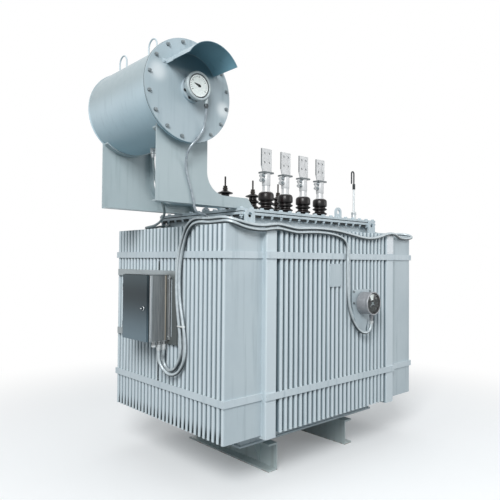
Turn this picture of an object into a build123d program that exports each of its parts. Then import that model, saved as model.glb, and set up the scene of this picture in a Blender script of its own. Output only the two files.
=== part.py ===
from build123d import *
import math
import os

# Oil-filled power transformer with finned walls and a side-mounted oil conservator.
# Millimetres, +Z up, front is -Y. Origin: on the ground, below the middle of the tank.

# Tank
tank_length = 1352.0
tank_width = 854.0
tank_wall = 5.0
floor_plate = 12.0
floor_margin = 10.0
tank_bottom = 223.0
rim_underside = 1665.0
rim_plate = 16.0
rim_overhang = 36.0
gasket_thickness = 6.0
gasket_margin = 8.0
gasket_band = 44.0
cover_plate = 16.0

# Finned walls
fin_bottom = 336.0
fin_height = 1250.0
fin_thickness = 26.0
fin_chamfer = 7.0
panel_sheet = 4.0
front_pitch = 45.0
front_fins = 25
front_depth = 225.0
post_width = 94.0
post_drop = 20.0
side_pitch = 43.1
side_fins = 29
side_depth = 291.0

# Flat bars across the fin tips
bar_height = 41.0
bar_thickness = 8.0
lower_bar_rise = 210.0
upper_bar_rise = 1054.0

# Skids and bearers
skid_height = 180.0
skid_flange = 80.0
skid_web = 9.0
skid_flange_thickness = 12.0
skid_gauge = 734.0
skid_length = 878.0
gusset_thickness = 10.0
gusset_spacing = 560.0
bearer_width = 60.0
bearer_length = 1180.0
bearer_spacing = 600.0

# Lifting lugs at the tank corners and on the cover
lug_width = 84.0
lug_height = 112.0
lug_thickness = 12.0
lug_hole = 34.0
lug_inset = 22.0
cover_lug_x = 352.0
cover_lug_inset = 85.0
cover_lug_height = 87.0
cover_lug_width = 73.0

# Conservator drum
drum_radius = 268.0
drum_wall = 5.0
drum_x = -1125.0
drum_rise = 627.0
drum_front = -475.0
drum_back = 225.0
flange_radius = 290.0
flange_ring = 12.0
flange_cover = 12.0
drum_end = 8.0

# Conservator supports
support_width = 351.0
support_plate = 8.0
support_flange = 55.0
support_front_y = -424.0
support_back_y = 211.0
arm_height = 68.0
arm_landing = 146.0
arm_slant = 58.0
arm_fillet = 135.0

# Lifting eyes on the drum
eye_rod = 10.0
eye_width = 90.0
eye_height = 110.0
eye_front_y = -185.0
eye_back_y = 175.0
eye_shift = 60.0

# Level gauge and its hood
gauge_base_radius = 74.0
gauge_base_thickness = 14.0
gauge_neck_radius = 48.0
gauge_reach = 73.0
gauge_shift_x = 15.0
gauge_lift = 16.0
gauge_base_drop = 5.0
dial_radius = 82.0
dial_depth = 34.0
dial_lip = 10.0
dial_recess = 8.0
gauge_gland_radius = 11.0
gauge_gland_length = 44.0
gauge_gland_offset = 58.0
gauge_gland_drop = 88.0
hood_half_span = 163.0
hood_rise = 93.0
hood_reach = 213.0
hood_sheet = 3.0
hood_shift_x = 7.0
hood_lift = 120.0

# Low-voltage bushings with flag terminals
lv_count = 4
lv_pitch = 196.0
lv_first_x = -251.0
lv_y = -202.0
lv_foot_radius = 54.0
lv_neck_radius = 38.0
lv_shed_radius = 57.0
lv_cap_radius = 56.0
lv_body_height = 162.0
lv_foot_share = 0.12
lv_lip_share = 0.06
lv_shed_shares = (0.20, 0.42)
lv_cap_share = 0.58
lv_stud_radius = 27.0
lv_stud_height = 47.0
clamp_radius = 30.0
clamp_height = 86.0
clamp_ear_length = 46.0
clamp_ear_width = 20.0
clamp_ear_height = 62.0
flag_width = 97.0
flag_height = 179.0
flag_thickness = 12.0
flag_hole = 14.0
flag_hole_across = 46.0
flag_hole_up = 66.0
flag_hole_top = 34.0
flag_foot_depth = 40.0
flag_cut_width = 17.0
flag_cut_height = 48.0

# High-voltage bushings
hv_count = 3
hv_pitch = 285.5
hv_first_x = -300.0
hv_y = 198.0
hv_foot_radius = 50.0
hv_neck_radius = 30.0
hv_shed_radius = 50.0
hv_cap_radius = 60.0
hv_height = 208.0
hv_sheds = 3
hv_foot_share = 0.10
hv_neck_share = 0.14
hv_first_shed_share = 0.18
hv_step_share = 0.22
hv_lip_shares = (0.25, 0.40, 0.80)
hv_cap_shares = (0.86, 0.90, 0.94)
hv_stud_radius = 7.0
hv_nut_radius = 20.0
hv_nut_height = 39.0
hv_stud_height = 109.0

# Filler pipe on the cover
pipe_end_inset = 162.0
pipe_inset = 91.0
pipe_radius = 8.0
pipe_rise = 392.0
pipe_bend = 15.0
pipe_drop = 82.0
pipe_boss_radius = 19.0
pipe_boss_height = 67.0
pipe_band_radius = 11.0
pipe_band_height = 42.5

# Terminal cabinet on the left fins
cabinet_width = 300.0
cabinet_height = 409.0
cabinet_depth = 150.0
cabinet_sheet = 3.0
cabinet_y = 56.0
cabinet_rise = 536.0
door_thickness = 16.0
door_gap = 5.0
hinge_radius = 5.0
hinge_pin_radius = 3.0
hinge_clearance = 0.3
hinge_height = 46.0
hinge_inset = 60.0
handle_radius = 11.0
handle_depth = 14.0
handle_share = 0.14
rail_height = 44.0
rail_overlap = 16.0
rail_thickness = 14.0
strip_gap = 19.0
strip_width = 53.0
rail_back_y = 591.0
cabinet_gland_radius = 14.0
cabinet_gland_height = 40.0
cabinet_gland_pitch = 36.0
cabinet_gland_inset = 24.0
cabinet_gland_edge = 32.0
cabinet_glands = 3

# Winding thermometer on the front fins
bracket_x = 266.0
bracket_width = 220.0
bracket_height = 118.0
bracket_tongue = 184.0
bracket_tongue_width = 78.0
bracket_round = 30.0
bracket_plate = 6.0
bracket_lift = 842.0
thermo_radius = 82.0
thermo_drop = 94.0
thermo_depth = 95.0
thermo_lip = 9.0
thermo_recess = 7.0
thermo_stand = 9.0
thermo_stand_radius = 40.0
thermo_gland_radius = 13.0
thermo_gland_length = 64.0
thermo_gland_offset = 46.0
thermo_gland_drop = 58.0

# Plain plate on the front fins
plate_x = -30.5
plate_width = 131.0
plate_height = 154.0
plate_rise = 869.0
plate_sheet = 3.0
post_plate_margin = 6.0
post_plate_width = 80.0
post_plate_height = 140.0
post_plate_rise = 1100.0

# Oil pipe from the drum to the cover
oil_pipe_radius = 20.0
oil_pipe_bend = 60.0
oil_pipe_y = -110.0
oil_pipe_landing = 120.0
oil_pipe_run_rise = 45.0
oil_pipe_offset = 90.0
oil_flange_radius = 40.0
oil_flange = 12.0

# Conduits, held at both ends
conduit_radius = 11.0
bend_share = 0.45
thin_conduit_radius = 7.0
ferrule_wall = 3.0
ferrule_length = 26.0
end_gland_y = -400.0
end_gland_z = 1618.0
end_gland_radius = 16.0
end_gland_length = 24.0
left_gland_y = -338.0
left_gland_z = 1622.0
hose_radius = 8.0
drain_y = -104.0
drain_boss_radius = 18.0
drain_boss_length = 30.0
drain_gland_y = 376.0
overrun = 20.0

# Places that follow from the sizes above
wall_x = tank_length / 2
wall_y = tank_width / 2
tip_x = wall_x + side_depth
tip_y = wall_y + front_depth
side_bank_half = side_pitch * (side_fins - 1) / 2 + fin_thickness / 2
rim_x = wall_x + rim_overhang
rim_y = wall_y + rim_overhang
rim_top = rim_underside + rim_plate
gasket_top = rim_top + gasket_thickness
cover_top = gasket_top + cover_plate
fin_top = fin_bottom + fin_height
drum_z = cover_top + drum_rise
drum_cover_face = drum_front - flange_cover
gauge_x = drum_x + gauge_shift_x
gauge_z = drum_z + gauge_lift

os.makedirs("parts", exist_ok=True)


def block(x0, x1, y0, y1, z0, z1):
    # Box from its lowest to its highest corner.
    size = (x1 - x0, y1 - y0, z1 - z0)
    return Pos((x0 + x1) / 2, (y0 + y1) / 2, (z0 + z1) / 2) * Box(*size)


def post(x, y, z, radius, height):
    # Upright cylinder standing on z.
    return Pos(x, y, z + height / 2) * Cylinder(radius, height)


def disc_y(x, y0, y1, z, radius):
    # Cylinder along Y between two planes.
    return Pos(x, (y0 + y1) / 2, z) * Rot(90, 0, 0) * Cylinder(radius, y1 - y0)


def turned(points):
    # Solid of revolution about Z from (radius, height) points.
    outline = make_face(Polyline(*[(r, 0, z) for r, z in points], close=True))
    return revolve(outline, Axis.Z, 360)


def tube_along(points, radii, radius):
    # Round bar along straight runs joined by tangent arcs.
    path = FilletPolyline(*points, radius=radii)
    start = path.location_at(0)
    section = Plane(origin=start.position, z_dir=path.tangent_at(0)) * Circle(radius)
    return sweep(section, path=path)


def bend_radii(points):
    # Largest arcs that the runs beside each corner allow.
    radii = []
    for before, corner, after in zip(points, points[1:], points[2:]):
        first = Vector(*corner) - Vector(*before)
        second = Vector(*after) - Vector(*corner)
        half_turn = math.radians(first.get_angle(second)) / 2
        radii.append(bend_share * min(first.length, second.length) / math.tan(half_turn))
    return radii


def save(node, *solids):
    # One file for each named piece.
    shape = solids[0] if len(solids) == 1 else Compound(children=list(solids))
    shape.label = node
    export_step(shape, f"parts/{node}.step")


# Tank walls, floor, rim, gasket and cover
def make_tank():
    long_wall = block(-wall_x, wall_x, -wall_y, tank_wall - wall_y, tank_bottom, rim_top)
    end_wall = block(-wall_x, tank_wall - wall_x, tank_wall - wall_y, wall_y - tank_wall,
                     tank_bottom, rim_top)
    turn = Rot(0, 0, 180)
    save("tank_front_wall", long_wall)
    save("tank_back_wall", turn * long_wall)
    save("tank_left_wall", end_wall)
    save("tank_right_wall", turn * end_wall)
    floor_x = wall_x + floor_margin
    floor_y = wall_y + floor_margin
    save("tank_floor", block(-floor_x, floor_x, -floor_y, floor_y,
                             tank_bottom - floor_plate, tank_bottom))
    rim = block(-rim_x, rim_x, -rim_y, rim_y, rim_underside, rim_top)
    rim -= block(-wall_x, wall_x, -wall_y, wall_y, rim_underside - overrun, rim_top + overrun)
    save("tank_rim", rim)
    pad_x = rim_x - gasket_margin
    pad_y = rim_y - gasket_margin
    gasket = block(-pad_x, pad_x, -pad_y, pad_y, rim_top, gasket_top)
    gasket -= block(gasket_band - pad_x, pad_x - gasket_band, gasket_band - pad_y,
                    pad_y - gasket_band, rim_top - overrun, gasket_top + overrun)
    save("cover_gasket", gasket)
    save("tank_cover", block(-rim_x, rim_x, -rim_y, rim_y, gasket_top, cover_top))


# Comb of upright fins on a thin sheet, drawn facing -Y with its sheet on y = 0
def fin_comb(count, pitch, depth, half_span, end_width):
    comb = block(-half_span, half_span, -panel_sheet, 0, fin_bottom, fin_top)
    for index in range(count):
        x = (index - (count - 1) / 2) * pitch
        comb += fin_at(x - fin_thickness / 2, x + fin_thickness / 2, depth, 0)
    if end_width > 0:
        comb += fin_at(-half_span, end_width - half_span, depth, post_drop)
        comb += fin_at(half_span - end_width, half_span, depth, post_drop)
    return comb


def fin_at(x0, x1, depth, drop):
    # One folded fin whose tip corners are eased.
    outline = Polyline((x0, -panel_sheet / 2), (x0, fin_chamfer - depth),
                       (x0 + fin_chamfer, -depth), (x1 - fin_chamfer, -depth),
                       (x1, fin_chamfer - depth), (x1, -panel_sheet / 2), close=True)
    return Pos(0, 0, fin_bottom - drop) * extrude(make_face(outline), fin_height + drop, dir=(0, 0, 1))


def make_fin_banks():
    long_bank = fin_comb(front_fins, front_pitch, front_depth, wall_x, post_width)
    save("fin_bank_front", Pos(0, -wall_y, 0) * long_bank)
    save("fin_bank_back", Rot(0, 0, 180) * Pos(0, -wall_y, 0) * long_bank)
    short_bank = fin_comb(side_fins, side_pitch, side_depth, side_bank_half, 0)
    save("fin_bank_left", Rot(0, 0, -90) * Pos(0, -wall_x, 0) * short_bank)
    save("fin_bank_right", Rot(0, 0, 90) * Pos(0, -wall_x, 0) * short_bank)


# Flat bars that tie the fin tips together, two levels on each side
def make_braces():
    levels = (fin_bottom + lower_bar_rise, fin_bottom + upper_bar_rise)
    long_bars = []
    end_bars = []
    outer_x = tip_x + bar_thickness
    outer_y = side_bank_half + bar_thickness
    for z in levels:
        long_bars.append(block(-wall_x, wall_x, -tip_y - bar_thickness, -tip_y, z, z + bar_height))
        strap = block(-outer_x, -wall_x, -outer_y, outer_y, z, z + bar_height)
        strap -= block(-tip_x, -wall_x + overrun, -side_bank_half, side_bank_half,
                       z - overrun, z + bar_height + overrun)
        end_bars.append(strap)
    turn = Rot(0, 0, 180)
    save("braces_front", *long_bars)
    save("braces_back", *[turn * bar for bar in long_bars])
    save("braces_left", *end_bars)
    save("braces_right", *[turn * bar for bar in end_bars])


# Channel skids open outwards, with web gussets, and two bearers under the floor
def make_base():
    half = skid_length / 2
    web_x = skid_gauge / 2
    skid = block(web_x - skid_web, web_x, -half, half, 0, skid_height)
    reach = web_x - skid_web + skid_flange
    skid += block(web_x - skid_web, reach, -half, half, 0, skid_flange_thickness)
    skid += block(web_x - skid_web, reach, -half, half,
                  skid_height - skid_flange_thickness, skid_height)
    top = skid_height - skid_flange_thickness
    for y in (-gusset_spacing / 2, gusset_spacing / 2):
        corner = Polyline((web_x, top), (reach, top),
                          (web_x, skid_flange_thickness), close=True)
        plate = extrude(Plane.XZ * make_face(corner), gusset_thickness / 2, both=True)
        skid += Pos(0, y, 0) * plate
    save("skid_right", skid)
    save("skid_left", Rot(0, 0, 180) * skid)
    bearers = []
    for y in (-bearer_spacing / 2, bearer_spacing / 2):
        bearers.append(block(-bearer_length / 2, bearer_length / 2, y - bearer_width / 2,
                             y + bearer_width / 2, skid_height, tank_bottom - floor_plate))
    save("base_bearers", *bearers)


# Lug plate facing -Y with a round head and a hole, standing on z = 0
def lug_plate(width, height, hole):
    radius = width / 2
    plate = block(-radius, radius, 0, lug_thickness, 0, height - radius)
    plate += disc_y(0, 0, lug_thickness, height - radius, radius)
    return plate - disc_y(0, -overrun, lug_thickness + overrun, height - radius, hole / 2)


def make_lugs():
    lugs = []
    x = rim_x - lug_inset - lug_width / 2
    z = cover_top - lug_height
    for side in (-1, 1):
        front = Pos(side * x, -rim_y - lug_thickness, z) * lug_plate(lug_width, lug_height, lug_hole)
        lugs.append(front)
        lugs.append(Rot(0, 0, 180) * front)
    save("tank_lugs", *lugs)
    cover_lug = lug_plate(cover_lug_width, cover_lug_height, lug_hole)
    near = Pos(cover_lug_x, -rim_y + cover_lug_inset, cover_top) * cover_lug
    save("cover_lugs", near, Rot(0, 0, 180) * near)


# Drum with a bolted front cover and a welded back end
def make_drum():
    shell = disc_y(drum_x, drum_front, drum_back, drum_z, drum_radius)
    shell += disc_y(drum_x, drum_front, drum_front + flange_ring, drum_z, flange_radius)
    shell -= disc_y(drum_x, drum_front - overrun, drum_back + overrun, drum_z,
                    drum_radius - drum_wall)
    save("conservator_shell", shell)
    save("conservator_cover", disc_y(drum_x, drum_cover_face, drum_front, drum_z, flange_radius))
    save("conservator_back_end",
         disc_y(drum_x, drum_back, drum_back + drum_end, drum_z, drum_radius))


# Outline of one support, as seen from the front, cut round the drum
def support_outline():
    left = drum_x - support_width / 2
    right = drum_x + support_width / 2
    arm_top = cover_top + arm_height
    tip = arm_landing - rim_x
    corners = [(left, cover_top), (tip, cover_top), (tip - arm_slant, arm_top),
               (right, arm_top), (right, drum_z), (left, drum_z)]
    sheet = make_face(Polyline(*corners, close=True))
    inner = sheet.vertices().filter_by(
        lambda v: abs(v.X - right) < 1e-3 and abs(v.Y - arm_top) < 1e-3)
    return fillet(inner, arm_fillet)


def support(flange_side):
    # Plate with its right edge, arm and saddle flanged to one side.
    drum = Pos(drum_x, drum_z) * Circle(drum_radius)
    sheet = support_outline() - drum
    core = offset(support_outline() - drum, amount=-support_plate)
    left = drum_x - support_width / 2
    keep = Pos(left - overrun + (overrun + support_plate) / 2, drum_z) * Rectangle(
        overrun + support_plate, 2 * drum_z)
    strip = sheet - core - keep
    plate = extrude(Plane.XZ * sheet, -support_plate)
    band = extrude(Plane.XZ * strip, -support_flange)
    solid = plate + band
    return solid if flange_side > 0 else mirror(solid, Plane.XZ)


def make_supports():
    save("support_front", Pos(0, support_front_y, 0) * support(1))
    save("support_back", Pos(0, support_back_y + support_plate, 0) * support(-1))


def make_eyes():
    # Bent-rod eyes standing beside the crown of the drum, along its axis.
    eyes = []
    seat = math.sqrt(drum_radius ** 2 - eye_shift ** 2)
    half = eye_width / 2
    straight = eye_height - half
    for y in (eye_front_y, eye_back_y):
        foot = -eye_rod
        path = Line((0, -half, foot), (0, -half, straight))
        path += ThreePointArc((0, -half, straight), (0, 0, straight + half), (0, half, straight))
        path += Line((0, half, straight), (0, half, foot))
        ring = sweep(Pos(0, -half, foot) * Circle(eye_rod / 2), path=path)
        ring -= Pos(eye_shift, 0, -seat) * Rot(90, 0, 0) * Cylinder(drum_radius, 2 * eye_height)
        eyes.append(Pos(drum_x - eye_shift, y, drum_z + seat) * ring)
    save("drum_eyes", *eyes)


# Level gauge on the drum cover, with a sheet hood above it
def make_gauge():
    face = drum_cover_face
    body = disc_y(gauge_x, face - gauge_base_thickness, face, gauge_z - gauge_base_drop,
                  gauge_base_radius)
    neck_end = face - gauge_reach + dial_depth
    body += disc_y(gauge_x, neck_end, face - gauge_base_thickness, gauge_z, gauge_neck_radius)
    save("gauge_body", body)
    dial_face = neck_end - dial_depth
    dial = disc_y(gauge_x, dial_face, neck_end, gauge_z, dial_radius)
    dial -= disc_y(gauge_x, dial_face - overrun, dial_face + dial_recess, gauge_z,
                   dial_radius - dial_lip)
    foot = gauge_gland()
    dial += post(foot[0], foot[1], foot[2], gauge_gland_radius, gauge_gland_length)
    save("gauge_dial", dial)
    arc_radius = (hood_half_span ** 2 + hood_rise ** 2) / (2 * hood_rise)
    crown_z = drum_z + hood_lift + hood_rise
    centre = (drum_x + hood_shift_x, crown_z - arc_radius)
    ring = Pos(*centre) * (Circle(arc_radius) - Circle(arc_radius - hood_sheet))
    below = Pos(centre[0], crown_z - hood_rise - arc_radius) * Rectangle(
        2 * arc_radius + overrun, 2 * arc_radius)
    hood = extrude(Plane.XZ * (ring - below), hood_reach)
    save("gauge_hood", Pos(0, face, 0) * hood)


# Foot of the gland under the dial
def gauge_gland():
    y = drum_cover_face - gauge_reach + dial_depth / 2
    return (gauge_x + gauge_gland_offset, y, gauge_z - gauge_gland_drop)


# Low-voltage bushings: porcelain body, stud clamp and a drilled flag
def make_lv_bushings():
    cap_base = lv_body_height * lv_cap_share
    lip = lv_body_height * lv_lip_share
    rounding = lv_cap_radius - lv_stud_radius
    outline = [(0, 0), (lv_foot_radius, 0), (lv_foot_radius, lv_body_height * lv_foot_share)]
    for share in lv_shed_shares:
        low = lv_body_height * share
        outline += [(lv_neck_radius, low), (lv_shed_radius, low + lip),
                    (lv_shed_radius, low + 2 * lip), (lv_neck_radius, low + 3 * lip)]
    outline += [(lv_cap_radius, cap_base + lip),
                (lv_cap_radius, lv_body_height - rounding / 2),
                (lv_cap_radius - rounding / 2, lv_body_height), (0, lv_body_height)]
    body = turned(outline)
    stud_top = lv_body_height + lv_stud_height
    clamp_top = stud_top + clamp_height
    terminal = post(0, 0, lv_body_height, lv_stud_radius, lv_stud_height + clamp_height / 2)
    terminal += post(0, 0, stud_top, clamp_radius, clamp_height)
    ear_z = clamp_top - clamp_ear_height
    terminal += block(-clamp_radius - clamp_ear_length / 2, 0, -clamp_ear_width / 2,
                      clamp_ear_width / 2, ear_z, clamp_top)
    foot = block(-flag_width / 2, flag_width / 2, -flag_foot_depth, flag_foot_depth,
                 clamp_top, clamp_top + flag_thickness)
    half = flag_width / 2
    outline = make_face(Polyline((flag_cut_width - half, 0), (half, 0), (half, flag_height),
                                 (-half, flag_height), (-half, flag_cut_height), close=True))
    flag = Pos(0, 0, clamp_top) * extrude(Plane.XZ * outline, flag_thickness / 2, both=True)
    for across in (-flag_hole_across / 2, flag_hole_across / 2):
        for drop in (0, flag_hole_up):
            z = clamp_top + flag_height - flag_hole_top - drop
            flag -= disc_y(across, -overrun, overrun, z, flag_hole / 2)
    terminal += foot + flag
    for index in range(lv_count):
        place = Pos(lv_first_x + index * lv_pitch, lv_y, cover_top)
        save(f"lv_insulator_{index + 1}", place * body)
        save(f"lv_terminal_{index + 1}", place * terminal)


# High-voltage bushings: shedded porcelain with a threaded stud
def make_hv_bushings():
    outline = [(0, 0), (hv_foot_radius, 0), (hv_foot_radius, hv_height * hv_foot_share),
               (hv_neck_radius, hv_height * hv_neck_share)]
    step = hv_height * hv_step_share
    rise, level, fall = [step * share for share in hv_lip_shares]
    base, lip, crown = [hv_height * share for share in hv_cap_shares]
    for index in range(hv_sheds):
        low = hv_height * hv_first_shed_share + index * step
        outline += [(hv_neck_radius, low), (hv_shed_radius, low + rise),
                    (hv_shed_radius, low + level), (hv_neck_radius, low + fall)]
    outline += [(hv_neck_radius, base), (hv_cap_radius, lip), (hv_cap_radius, crown),
                (hv_nut_radius, hv_height), (0, hv_height)]
    body = turned(outline)
    stud = post(0, 0, hv_height, hv_nut_radius, hv_nut_height)
    stud += post(0, 0, hv_height, hv_stud_radius, hv_stud_height)
    studs = []
    for index in range(hv_count):
        place = Pos(hv_first_x + index * hv_pitch, hv_y, cover_top)
        save(f"hv_insulator_{index + 1}", place * body)
        studs.append(place * stud)
    save("hv_studs", *studs)


# Filler pipe: boss, banded riser bent over at the top, and a short leg
def make_filler_pipe():
    x = rim_x - pipe_end_inset
    y = -rim_y + pipe_inset
    top = cover_top + pipe_rise - pipe_bend - pipe_radius
    path = Line((0, 0, cover_top), (0, 0, top))
    path += ThreePointArc((0, 0, top), (-pipe_bend, 0, top + pipe_bend), (-2 * pipe_bend, 0, top))
    path += Line((-2 * pipe_bend, 0, top), (-2 * pipe_bend, 0, top - pipe_drop))
    pipe = sweep(Pos(0, 0, cover_top) * Circle(pipe_radius), path=path)
    pipe += post(0, 0, cover_top, pipe_boss_radius, pipe_boss_height)
    pipe += post(0, 0, top - pipe_drop - pipe_band_height, pipe_band_radius, pipe_band_height)
    save("filler_pipe", Pos(x, y, 0) * pipe)


# Foot of one gland under the cabinet
def cabinet_gland(index):
    x = -tip_x - rail_thickness - cabinet_gland_inset - index * cabinet_gland_pitch
    y = cabinet_y - cabinet_width / 2 + cabinet_gland_edge
    return (x, y, fin_bottom + cabinet_rise - cabinet_gland_height)


# Sheet cabinet hung on two rails, with a hinged door facing -X
def make_cabinet():
    back_x = -tip_x - rail_thickness
    front_x = back_x - cabinet_depth
    y0 = cabinet_y - cabinet_width / 2
    y1 = cabinet_y + cabinet_width / 2
    z0 = fin_bottom + cabinet_rise
    z1 = z0 + cabinet_height
    box = block(front_x, back_x, y0, y1, z0, z1)
    box -= block(front_x - overrun, back_x - cabinet_sheet, y0 + cabinet_sheet,
                 y1 - cabinet_sheet, z0 + cabinet_sheet, z1 - cabinet_sheet)
    pin_x = front_x - door_gap - door_thickness / 2
    pin_y = y1 + hinge_radius
    levels = (z0 + hinge_inset, z1 - hinge_inset - hinge_height)
    half = hinge_height / 2
    for z in levels:
        knuckle = post(pin_x, pin_y, z, hinge_radius, half - hinge_clearance / 2)
        knuckle += block(pin_x - hinge_pin_radius, front_x + cabinet_sheet, pin_y,
                         pin_y + hinge_pin_radius, z, z + half - hinge_clearance / 2)
        knuckle += block(front_x, front_x + cabinet_sheet, y1 - cabinet_sheet,
                         pin_y + hinge_pin_radius, z, z + half - hinge_clearance / 2)
        pin = post(pin_x, pin_y, z, hinge_pin_radius, hinge_height)
        box += knuckle + pin
    for index in range(cabinet_glands):
        x, y, z = cabinet_gland(index)
        box += post(x, y, z, cabinet_gland_radius, cabinet_gland_height)
    save("cabinet_body", box)
    door_x = front_x - door_gap - door_thickness
    door = block(door_x, door_x + door_thickness, y0, y1 - door_gap, z0, z1)
    door -= block(door_x + cabinet_sheet, door_x + door_thickness + overrun, y0 + cabinet_sheet,
                  y1 - door_gap - cabinet_sheet, z0 + cabinet_sheet, z1 - cabinet_sheet)
    for z in levels:
        low = z + half + hinge_clearance / 2
        leaf = block(pin_x - hinge_pin_radius, pin_x + hinge_pin_radius, y1 - door_gap - cabinet_sheet,
                     pin_y, low, z + hinge_height)
        leaf += post(pin_x, pin_y, low, hinge_radius, z + hinge_height - low)
        door += leaf
        door -= post(pin_x, pin_y, low - overrun, hinge_pin_radius + hinge_clearance,
                     hinge_height + 2 * overrun)
    handle_y = y0 + cabinet_width * handle_share
    handle_z = z0 + cabinet_height / 2
    handle = Pos(door_x - handle_depth / 2, handle_y, handle_z) * Rot(0, 90, 0) * Cylinder(
        handle_radius, handle_depth)
    save("cabinet_door", door + handle)
    rails = []
    strip_edge = y0 - strip_gap
    for z in (z1 - rail_overlap, z0 - rail_height + rail_overlap):
        rails.append(block(back_x, -tip_x, strip_edge, rail_back_y, z, z + rail_height))
    strip = block(back_x, -tip_x, strip_edge - strip_width, strip_edge,
                  z0 - rail_height + rail_overlap, z1 - rail_overlap + rail_height)
    rails = [rails[0] + rails[1] + strip]
    save("cabinet_rails", *rails)


# Thermometer on a bracket that stands on the front fin tips
def make_thermometer():
    face = -tip_y - bracket_plate
    top = fin_bottom + bracket_lift
    x0 = bracket_x - bracket_width / 2
    x1 = bracket_x + bracket_width / 2
    foot = top - bracket_height - bracket_tongue
    half_foot = bracket_tongue_width / 2
    outline = make_face(Polyline(
        (x0, top), (x1, top), (x1, top - bracket_height), (bracket_x + half_foot, foot),
        (bracket_x - half_foot, foot), (x0, top - bracket_height), close=True))
    low = outline.vertices().filter_by(lambda v: v.Y < foot + bracket_plate)
    outline = fillet(low, bracket_round)
    plate = Pos(0, -tip_y, 0) * extrude(Plane.XZ * outline, bracket_plate)
    save("thermometer_bracket", plate)
    z = top - thermo_drop
    x = bracket_x
    front = face - thermo_stand - thermo_depth
    body = disc_y(x, face - thermo_stand, face, z, thermo_stand_radius)
    body += disc_y(x, front, face - thermo_stand, z, thermo_radius)
    body -= disc_y(x, front - overrun, front + thermo_recess, z, thermo_radius - thermo_lip)
    gland = thermo_gland()
    body += post(gland[0], gland[1], gland[2], thermo_gland_radius, thermo_gland_length)
    save("thermometer_body", body)
    plate_z = fin_bottom + plate_rise
    save("front_plate", block(plate_x - plate_width / 2, plate_x + plate_width / 2,
                              -tip_y - plate_sheet, -tip_y, plate_z, plate_z + plate_height))
    edge = wall_x - post_plate_margin
    post_z = fin_bottom + post_plate_rise
    save("post_plate", block(edge - post_plate_width, edge, -tip_y - plate_sheet, -tip_y,
                             post_z, post_z + post_plate_height))


# Foot of the gland under the thermometer
def thermo_gland():
    z = fin_bottom + bracket_lift - thermo_drop - thermo_radius - thermo_gland_drop + thermo_gland_radius
    return (bracket_x + thermo_gland_offset, -tip_y - bracket_plate - thermo_depth / 2, z)


# Conduit of round section through hand-picked points, with a ferrule at each end
def conduit(node, points, radius, ferrules=2):
    radii = bend_radii(points)
    print(node, "tightest bend", round(min(radii), 1))
    tube = tube_along(points, radii, radius)
    path = FilletPolyline(*points, radius=radii)
    shares = [0, 1][:ferrules]
    for share in shares:
        inward = path.tangent_at(share) * (1 - 2 * share)
        section = Plane(origin=path.position_at(share), z_dir=inward) * Circle(radius + ferrule_wall)
        tube += extrude(section, ferrule_length)
    save(node, tube)


# Oil pipe: down from the drum, along under the support arms, up over the cover's edge
def make_oil_pipe():
    x = drum_x + oil_pipe_offset
    top = drum_z - math.sqrt(drum_radius ** 2 - oil_pipe_offset ** 2) + drum_wall
    run_z = cover_top + oil_pipe_run_rise
    landing_x = oil_pipe_landing - rim_x
    bend = oil_pipe_run_rise - oil_flange
    path = FilletPolyline((x, oil_pipe_y, top), (x, oil_pipe_y, run_z),
                          (landing_x, oil_pipe_y, run_z), (landing_x, oil_pipe_y, cover_top),
                          radius=[oil_pipe_bend, bend])
    section = Plane(origin=(x, oil_pipe_y, top), z_dir=(0, 0, -1)) * Circle(oil_pipe_radius)
    pipe = sweep(section, path=path)
    pipe -= disc_y(drum_x, oil_pipe_y - 2 * oil_flange_radius, oil_pipe_y + 2 * oil_flange_radius,
                   drum_z, drum_radius)
    pipe += post(landing_x, oil_pipe_y, cover_top, oil_flange_radius, oil_flange)
    flange_z = (top + run_z) / 2
    pipe += post(x, oil_pipe_y, flange_z, oil_flange_radius, oil_flange)
    save("oil_pipe", pipe)


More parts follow.
